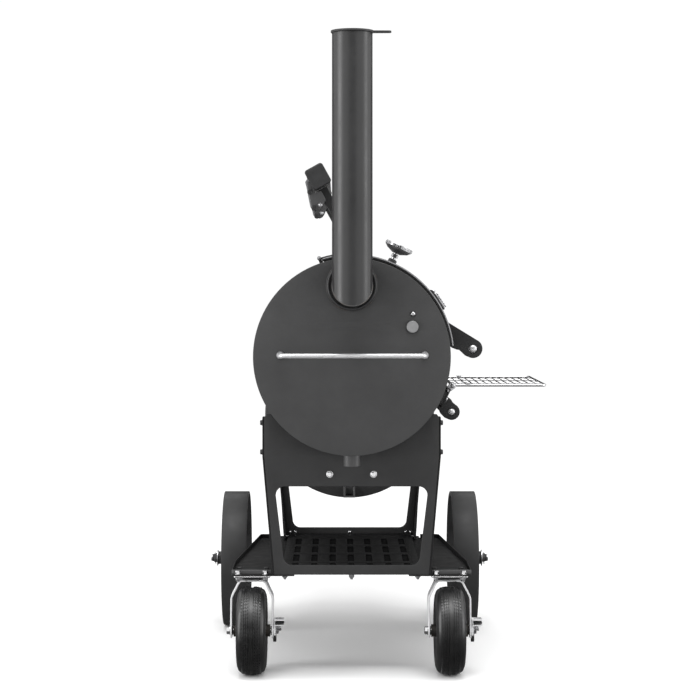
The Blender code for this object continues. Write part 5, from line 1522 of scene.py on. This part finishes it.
for t, s in (("back", -1), ("front", 1)):
    cx = s * CASTER_X - (0.004 if s > 0 else 0.0)
    body = "caster_" + t
    # mounting plate, race and its bolts
    piece("caster_top_" + t, [plate([soft_corners(
        [(cx - 0.048, 0.100), (cx + 0.048, 0.100), (cx + 0.048, 0.214),
         (cx - 0.048, 0.214)], 0.008, 6)], 'XY', 0.2571, 0.0043, 0.0008, 2)],
        "cart", "chrome", ["caster_plate_" + t])
    piece("caster_race_" + t, revolve((cx, CASTER_Y, 0.2472), (0, 0, 1), [
        (0, 0.0085), (0.0385, 0.0085), (0.0395, 0.0070), (0.0385, 0.0040),
        (0.0350, 0.0004), (0.0330, 0), (0.0095, 0), (0.0090, 0.0006),
        (0.0090, 0.0040), (0, 0.0040)], 64), "cart", "dark")
    bolts, nuts, rear = [], [], []
    for dx in (-0.0360, 0.0355):
        for y in (0.1120, 0.2020):
            x = cx + dx
            top = 0.2627
            hd = [washer((x, y, top), (0, 0, 1), 0.0085, 0.0010, 28),
                  hexhead((x, y, top + 0.0010), (0, 0, 1), 0.0130,
                          0.0090 if y < 0.15 else 0.0050, 0.0)]
            (bolts if y < 0.15 else rear).extend(hd)
            nuts += [washer((x, y, 0.2549), (0, 0, -1), 0.0080, 0.0010, 28),
                     hexhead((x, y, 0.2539), (0, 0, -1), 0.0120, 0.0085,
                             0.26),
                     cyl((x, y, 0.2460), (x, y, 0.2428), 0.0038, 20, 0.0006)]
    piece("caster_bolts_" + t, bolts, "cart", "chrome")
    piece("caster_rear_bolts_" + t, rear, "cart", "dark")
    piece("caster_nuts_" + t, nuts, "cart", "zinc")
    # stamped fork
    fork = [revolve((cx, CASTER_Y, 0.2408), (0, 0, 1), [
        (0, 0.0127), (0.0080, 0.0127), (0.0080, 0.0059), (0.0290, 0.0059),
        (0.0325, 0.0048), (0.0345, 0.0024), (0.0338, 0.0005), (0.0320, 0),
        (0, 0)], 64)]
    for k in (-1, 1):
        secs = []
        for x, z, yc, hw, nx, nz in (
                (0.0180, 0.2414, 0.155, 0.0310, 0.00, 1.00),
                (0.0270, 0.2412, 0.154, 0.0310, 0.15, 0.99),
                (0.0312, 0.2392, 0.153, 0.0308, 0.62, 0.78),
                (0.0345, 0.2345, 0.152, 0.0304, 0.87, 0.49),
                (0.0430, 0.2180, 0.147, 0.0290, 0.89, 0.46),
                (0.0498, 0.2050, 0.143, 0.0278, 0.91, 0.41),
                (0.0518, 0.1985, 0.141, 0.0270, 0.99, 0.12),
                (0.0520, 0.1900, 0.139, 0.0260, 1.00, 0.00),
                (0.0520, 0.1700, 0.134, 0.0238, 1.00, 0.00),
                (0.0520, 0.1500, 0.130, 0.0220, 1.00, 0.00),
                (0.0520, 0.1300, 0.124, 0.0205, 1.00, 0.00),
                (0.0520, 0.1145, 0.120, 0.0200, 1.00, 0.00),
                (0.0520, 0.1030, 0.120, 0.0172, 1.00, 0.00),
                (0.0520, 0.0965, 0.120, 0.0110, 1.00, 0.00)):
            th = 0.0044
            pi_ = (cx + k * x, z)
            po_ = (cx + k * (x + th * nx), z + th * nz)
            secs.append([(pi_[0], yc - hw, pi_[1]), (pi_[0], yc + hw, pi_[1]),
                         (po_[0], yc + hw, po_[1]),
                         (po_[0], yc - hw, po_[1])])
        fork.append(loft(spline_rows(secs, 4)))
    piece("fork_sheet_" + t, fork, body, "plated",
          ["caster_fork_" + t], bevel=0.0007, sharp=34)
    # axle bolt with its head, washers and nut
    ax = [cyl((cx - 0.062, CAX_Y, CAX_Z), (cx + 0.0685, CAX_Y, CAX_Z),
              0.0060, 28, 0.0008),
          washer((cx - 0.0568, CAX_Y, CAX_Z), (-1, 0, 0), 0.0120, 0.0014),
          hexhead((cx - 0.0580, CAX_Y, CAX_Z), (-1, 0, 0), 0.0180, 0.0084,
                  0.5)]
    piece("caster_bolt_" + t, ax, body, "chrome",
          ["caster_axle_" + t])
    spc = []
    for k in (-1, 1):
        spc.append(revolve((cx + k * 0.0492, CAX_Y, CAX_Z), (k, 0, 0),
                           [(0, 0.0026), (0.0105, 0.0026), (0.0115, 0.0018),
                            (0.0115, 0), (0, 0)], 36))
    piece("caster_spacer_" + t, spc, body, "iron")
    wb = "caster_wheel_" + t
    piece("tyre_" + t, tyre_tread(cx), wb, "tyre",
          ["caster_tyre_" + t], sharp=28)
    piece("tyre_tread_" + t, tread_blocks(cx), wb, "tyre")
    piece("caster_rim_" + t, revolve((cx, CAX_Y, CAX_Z), (1, 0, 0), [
        (0.0553, 0.0275), (0.0575, 0.0300), (0.0565, 0.0318),
        (0.0535, 0.0305), (0.0515, 0.0240), (0.0480, 0.0145),
        (0.0440, 0.0120), (0.0200, 0.0120), (0.0165, 0.0150),
        (0.0160, 0.0480), (0.0066, 0.0480), (0.0066, -0.0480),
        (0.0160, -0.0480), (0.0165, -0.0150), (0.0200, -0.0120),
        (0.0440, -0.0120), (0.0480, -0.0145), (0.0515, -0.0240),
        (0.0535, -0.0305), (0.0565, -0.0318), (0.0575, -0.0300),
        (0.0553, -0.0275)], 72, True), wb, "iron",
        ["caster_hub_" + t], sharp=24)
    rb = []
    for k in (-1, 1):
        for q in range(5):
            a = 2 * math.pi * q / 5
            rb += bolt_set((cx + k * 0.0120, CAX_Y + 0.031 * math.cos(a),
                            CAX_Z + 0.031 * math.sin(a)), (k, 0, 0), 0.0095,
                           0.0045, 0.0070, 0.0010, 0.3)
    piece("caster_rim_bolts_" + t, rb, wb, "zinc")
    # brake lever with its pressed pedal
    bb = "brake_" + t
    bx = cx + 0.0600
    lv = plate([soft_corners(
        circle(CAX_Y, CAX_Z, 0.0150, 48, 75, 335, True)
        + [(0.164, 0.103), (0.167, 0.112), (0.150, 0.126),
           (CAX_Y + 0.010, 0.1350)],
        [0] * 49 + [0.003, 0.003, 0.004, 0.004]),
        circle(CAX_Y, CAX_Z, 0.0066, 40)], 'YZ', bx, 0.0046, 0.0009, 2)
    piece("brake_lever_" + t, lv, bb, "plated",
          ["caster_brake_" + t])
    ped = [box((bx - 0.0024, 0.1060, 0.1240), (bx + 0.0022, 0.1310, 0.1450)),
           box((bx - 0.0020, 0.0980, 0.1433), (bx + 0.0250, 0.1340, 0.1463)),
           box((bx - 0.0014, 0.1000, 0.1292), (bx + 0.0246, 0.1338, 0.1320))]
    piece("brake_pedal_" + t, ped, bb, "plated", bevel=0.0007)
    piece("brake_web_" + t, [box((bx - 0.0010, 0.1290, 0.1315),
                                 (bx + 0.0242, 0.1330, 0.1440)),
                             box((bx + 0.0030, 0.1010, 0.1352),
                                 (bx + 0.0240, 0.1300, 0.1392))], bb,
          "dark", bevel=0.0006)
    grip = []
    for q in range(6):
        grip.append(box((bx + 0.0040 + 0.0034 * q, 0.1000, 0.1462),
                        (bx + 0.0054 + 0.0034 * q, 0.1320, 0.1470)))
    piece("brake_treads_" + t, grip, bb, "zinc")
    # cam under the lever that grips the tyre's rim
    piece("brake_cam_" + t, [plate([circle(0.1175, 0.0935, 0.0082, 28, 150,
                                           390, True)
                                    + [(0.1250, 0.1060), (0.1110, 0.1060)]],
                                   'YZ', bx, 0.0085, 0.0010, 2)], bb, "dark")
    spring = []
    for q in range(61):
        f = q / 60
        a = 2 * math.pi * 4 * f
        spring.append((bx + 0.0050 + 0.0115 * f,
                       CAX_Y - 0.0040 + 0.0062 * math.cos(a),
                       0.1215 + 0.0062 * math.sin(a)))
    piece("brake_spring_" + t, pipe_path(spring, 0.0012, 8), bb, "zinc")
    piece("brake_nut_" + t, [washer((bx + 0.0030, CAX_Y, CAX_Z), (1, 0, 0),
                                    0.0110, 0.0013),
                             hexhead((bx + 0.0043, CAX_Y, CAX_Z), (1, 0, 0),
                                     0.0165, 0.0060, 0.4)], body, "zinc")

# ------------------------------------------------------- shelf and rail ----
ra = 115.5
ru = Vector((math.sin(math.radians(ra)), 0, math.cos(math.radians(ra))))
rs = Vector((ru.z, 0, -ru.x))
rt = Matrix.Translation(Vector((0, 0, DRUM_Z))) @ Matrix(
    ((rs.x, 0, ru.x, 0), (0, 1, 0, 0), (rs.z, 0, ru.z, 0), (0, 0, 0, 1)))
chan = soft_corners([(-0.0300, 0.2705), (-0.0300, 0.2803), (0.0300, 0.2803),
                     (0.0300, 0.2705)], [0.0008, 0.003, 0.003, 0.0008], 4)
chan += soft_corners([(0.0262, 0.2705), (0.0262, 0.2765), (-0.0262, 0.2765),
                      (-0.0262, 0.2705)], [0.0008, 0.002, 0.002, 0.0008], 4)
rp = [prism_y(chan, 0.1900, 0.6660, rt)]
for y in (0.205, 0.428, 0.651):
    secs = []
    for b_ in (-0.0180, 0.0180):
        lo_r = math.sqrt((DRUM_R + 0.0006) ** 2 - b_ * b_)
        secs.append([rt @ Vector((b_, y - 0.012, lo_r)),
                     rt @ Vector((b_, y + 0.012, lo_r)),
                     rt @ Vector((b_, y + 0.012, 0.2770)),
                     rt @ Vector((b_, y - 0.012, 0.2770))])
    rp.append(loft(secs))
piece("shelf_mount", rp, "cart", "dark", ["shelf_rail"],
      bevel=0.0006)
ea = []
for ya, yb in ((0.1905, 0.1945), (0.6615, 0.6655)):
    ea.append(plate([soft_corners([(0.2560, 0.7350), (0.2670, 0.7400),
                                   (0.2775, 0.7480), (0.2790, 0.7590),
                                   (0.2700, 0.7640), (0.2600, 0.7590),
                                   (0.2545, 0.7440)], 0.004, 4),
                     circle(0.2700, SHELF_Z, 0.0043, 28)], 'XZ',
                    (ya + yb) / 2, yb - ya, 0.0007, 1))
piece("shelf_ears", ea, "cart", "zinc")
s_ = []
for y in (0.205, 0.428, 0.651):
    s_.append(dome(rt @ Vector((0.0, y, 0.2804)), ru, 0.0068, 0.0040))
piece("shelf_mount_bolts", s_, "cart", "zinc")
X1, Y0_, Y1_ = 0.5214, 0.200, 0.656
FR = 0.0037
sh = [cyl((0.2700, 0.1882, SHELF_Z), (0.2700, 0.6678, SHELF_Z), 0.0037, 24,
          0.0006)]
cr = 0.012
path = [(0.2700, Y0_ + FR, SHELF_Z)]
path += [(X1 - FR - cr + cr * math.cos(math.radians(b)),
          Y0_ + FR + cr + cr * math.sin(math.radians(b)), SHELF_Z)
         for b in range(-90, 1, 10)]
path += [(X1 - FR - cr + cr * math.cos(math.radians(b)),
          Y1_ - FR - cr + cr * math.sin(math.radians(b)), SHELF_Z)
         for b in range(0, 91, 10)]
path += [(0.2700, Y1_ - FR, SHELF_Z)]
sh.append(pipe_path(path, FR, 20))
for k in range(12):
    x = 0.2700 + (X1 - FR - 0.2700) * (k + 1) / 13
    sh.append(cyl((x, Y0_ + 2 * FR - 0.0008, SHELF_Z + 0.0006),
                  (x, Y1_ - 2 * FR + 0.0008, SHELF_Z + 0.0006), 0.0020, 16))
for k in range(2):
    y = Y0_ + (Y1_ - Y0_) * (k + 1) / 3
    sh.append(cyl((0.2703, y, SHELF_Z - 0.0014), (X1 - FR, y,
                                                  SHELF_Z - 0.0014), 0.0019,
                  16))
piece("shelf_wires", sh, "shelf", "chrome", ["wire_shelf"])
pins = []
for y, d_ in ((0.1892, -1), (0.6668, 1)):
    pins.append(dome((0.2700, y, SHELF_Z), (0, d_, 0), 0.0060, 0.0030))
piece("shelf_pin_heads", pins, "shelf", "zinc")

# ------------------------------------------------------------------ stage --
def stage_mat(name, color, rough):
    m_ = bpy.data.materials.new(name)
    m_.use_nodes = True
    b_ = m_.node_tree.nodes["Principled BSDF"]
    b_.inputs["Base Color"].default_value = (*color, 1)
    b_.inputs["Roughness"].default_value = rough
    b_.inputs["Specular IOR Level"].default_value = 0.0
    return m_


def sheet(name, pts, mat):
    me_ = bpy.data.meshes.new(name)
    me_.from_pydata([tuple(q) for q in pts], [], [(0, 1, 2, 3)])
    ob_ = bpy.data.objects.new(name, me_)
    bpy.context.scene.collection.objects.link(ob_)
    me_.materials.append(mat)
    return ob_


def flag(name, pts, level):
    """Grey card that only polished and coated surfaces mirror."""
    m_ = bpy.data.materials.new(name)
    m_.use_nodes = True
    nt = m_.node_tree
    nt.nodes.clear()
    em = nt.nodes.new("ShaderNodeEmission")
    em.inputs["Color"].default_value = (level, level, level, 1)
    om = nt.nodes.new("ShaderNodeOutputMaterial")
    nt.links.new(em.outputs[0], om.inputs[0])
    ob_ = sheet(name, pts, m_)
    ob_.visible_camera = False
    ob_.visible_diffuse = False
    ob_.visible_shadow = False
    ob_.visible_transmission = False
    return ob_


floor_mat = stage_mat("studio_paper", (1.0, 1.0, 1.0), 1.0)
sheet("studio_floor", [(-60, -60, 0), (60, -60, 0), (60, 60, 0),
                       (-60, 60, 0)], floor_mat)
flag("flag_behind_camera", [(-2.6, -7.5, 0.0), (2.6, -7.5, 0.0),
                            (2.6, -7.5, 4.5), (-2.6, -7.5, 4.5)], 0.10)
flag("flag_backdrop", [(-8.0, 6.5, 0.0), (8.0, 6.5, 0.0),
                       (8.0, 6.5, 3.4), (-8.0, 6.5, 3.4)], 0.05)
flag("flag_floor", [(-2.4, -2.6, 0.0006), (2.4, -2.6, 0.0006),
                    (2.4, 2.6, 0.0006), (-2.4, 2.6, 0.0006)], 0.10)

world = bpy.data.worlds.new("studio")
bpy.context.scene.world = world
world.use_nodes = True
bg = world.node_tree.nodes["Background"]
bg.inputs["Color"].default_value = (1, 1, 1, 1)
bg.inputs["Strength"].default_value = 1.02


def area(name, at, look, sx, sy, power):
    ld = bpy.data.lights.new(name, 'AREA')
    ld.shape = 'RECTANGLE'
    ld.size, ld.size_y = sx, sy
    ld.energy = power
    lo_ = bpy.data.objects.new(name, ld)
    lo_.location = Vector(at)
    lo_.rotation_euler = (Vector(look) - Vector(at)).to_track_quat(
        '-Z', 'Y').to_euler()
    bpy.context.scene.collection.objects.link(lo_)
    return lo_


area("key_top", (0, -1.1, 3.4), (0, -0.2, 0.6), 2.2, 2.2, 70)
area("soft_left", (-3.2, -1.6, 1.5), (0, -0.2, 0.9), 1.2, 3.2, 60)
area("soft_right", (3.4, -1.2, 1.5), (0, -0.2, 0.9), 1.0, 3.2, 34)

scene = bpy.context.scene
scene.view_settings.view_transform = 'Standard'
scene.view_settings.look = 'None'
cam = bpy.data.cameras.new("view")
cam.sensor_width = 36.0
cam.sensor_fit = 'HORIZONTAL'
cam.lens = 1949.0 * 36.0 / 700.0
cam.shift_x = (350.0 - 336.7) / 700.0
cam.shift_y = -(350.0 - 280.0) / 700.0
cam.clip_end = 100
co = bpy.data.objects.new("view", cam)
co.location = Vector((-0.039, -5.0, 1.035)) + SHIFT
co.rotation_euler = (math.radians(90), 0, 0)
scene.collection.objects.link(co)
scene.camera = co
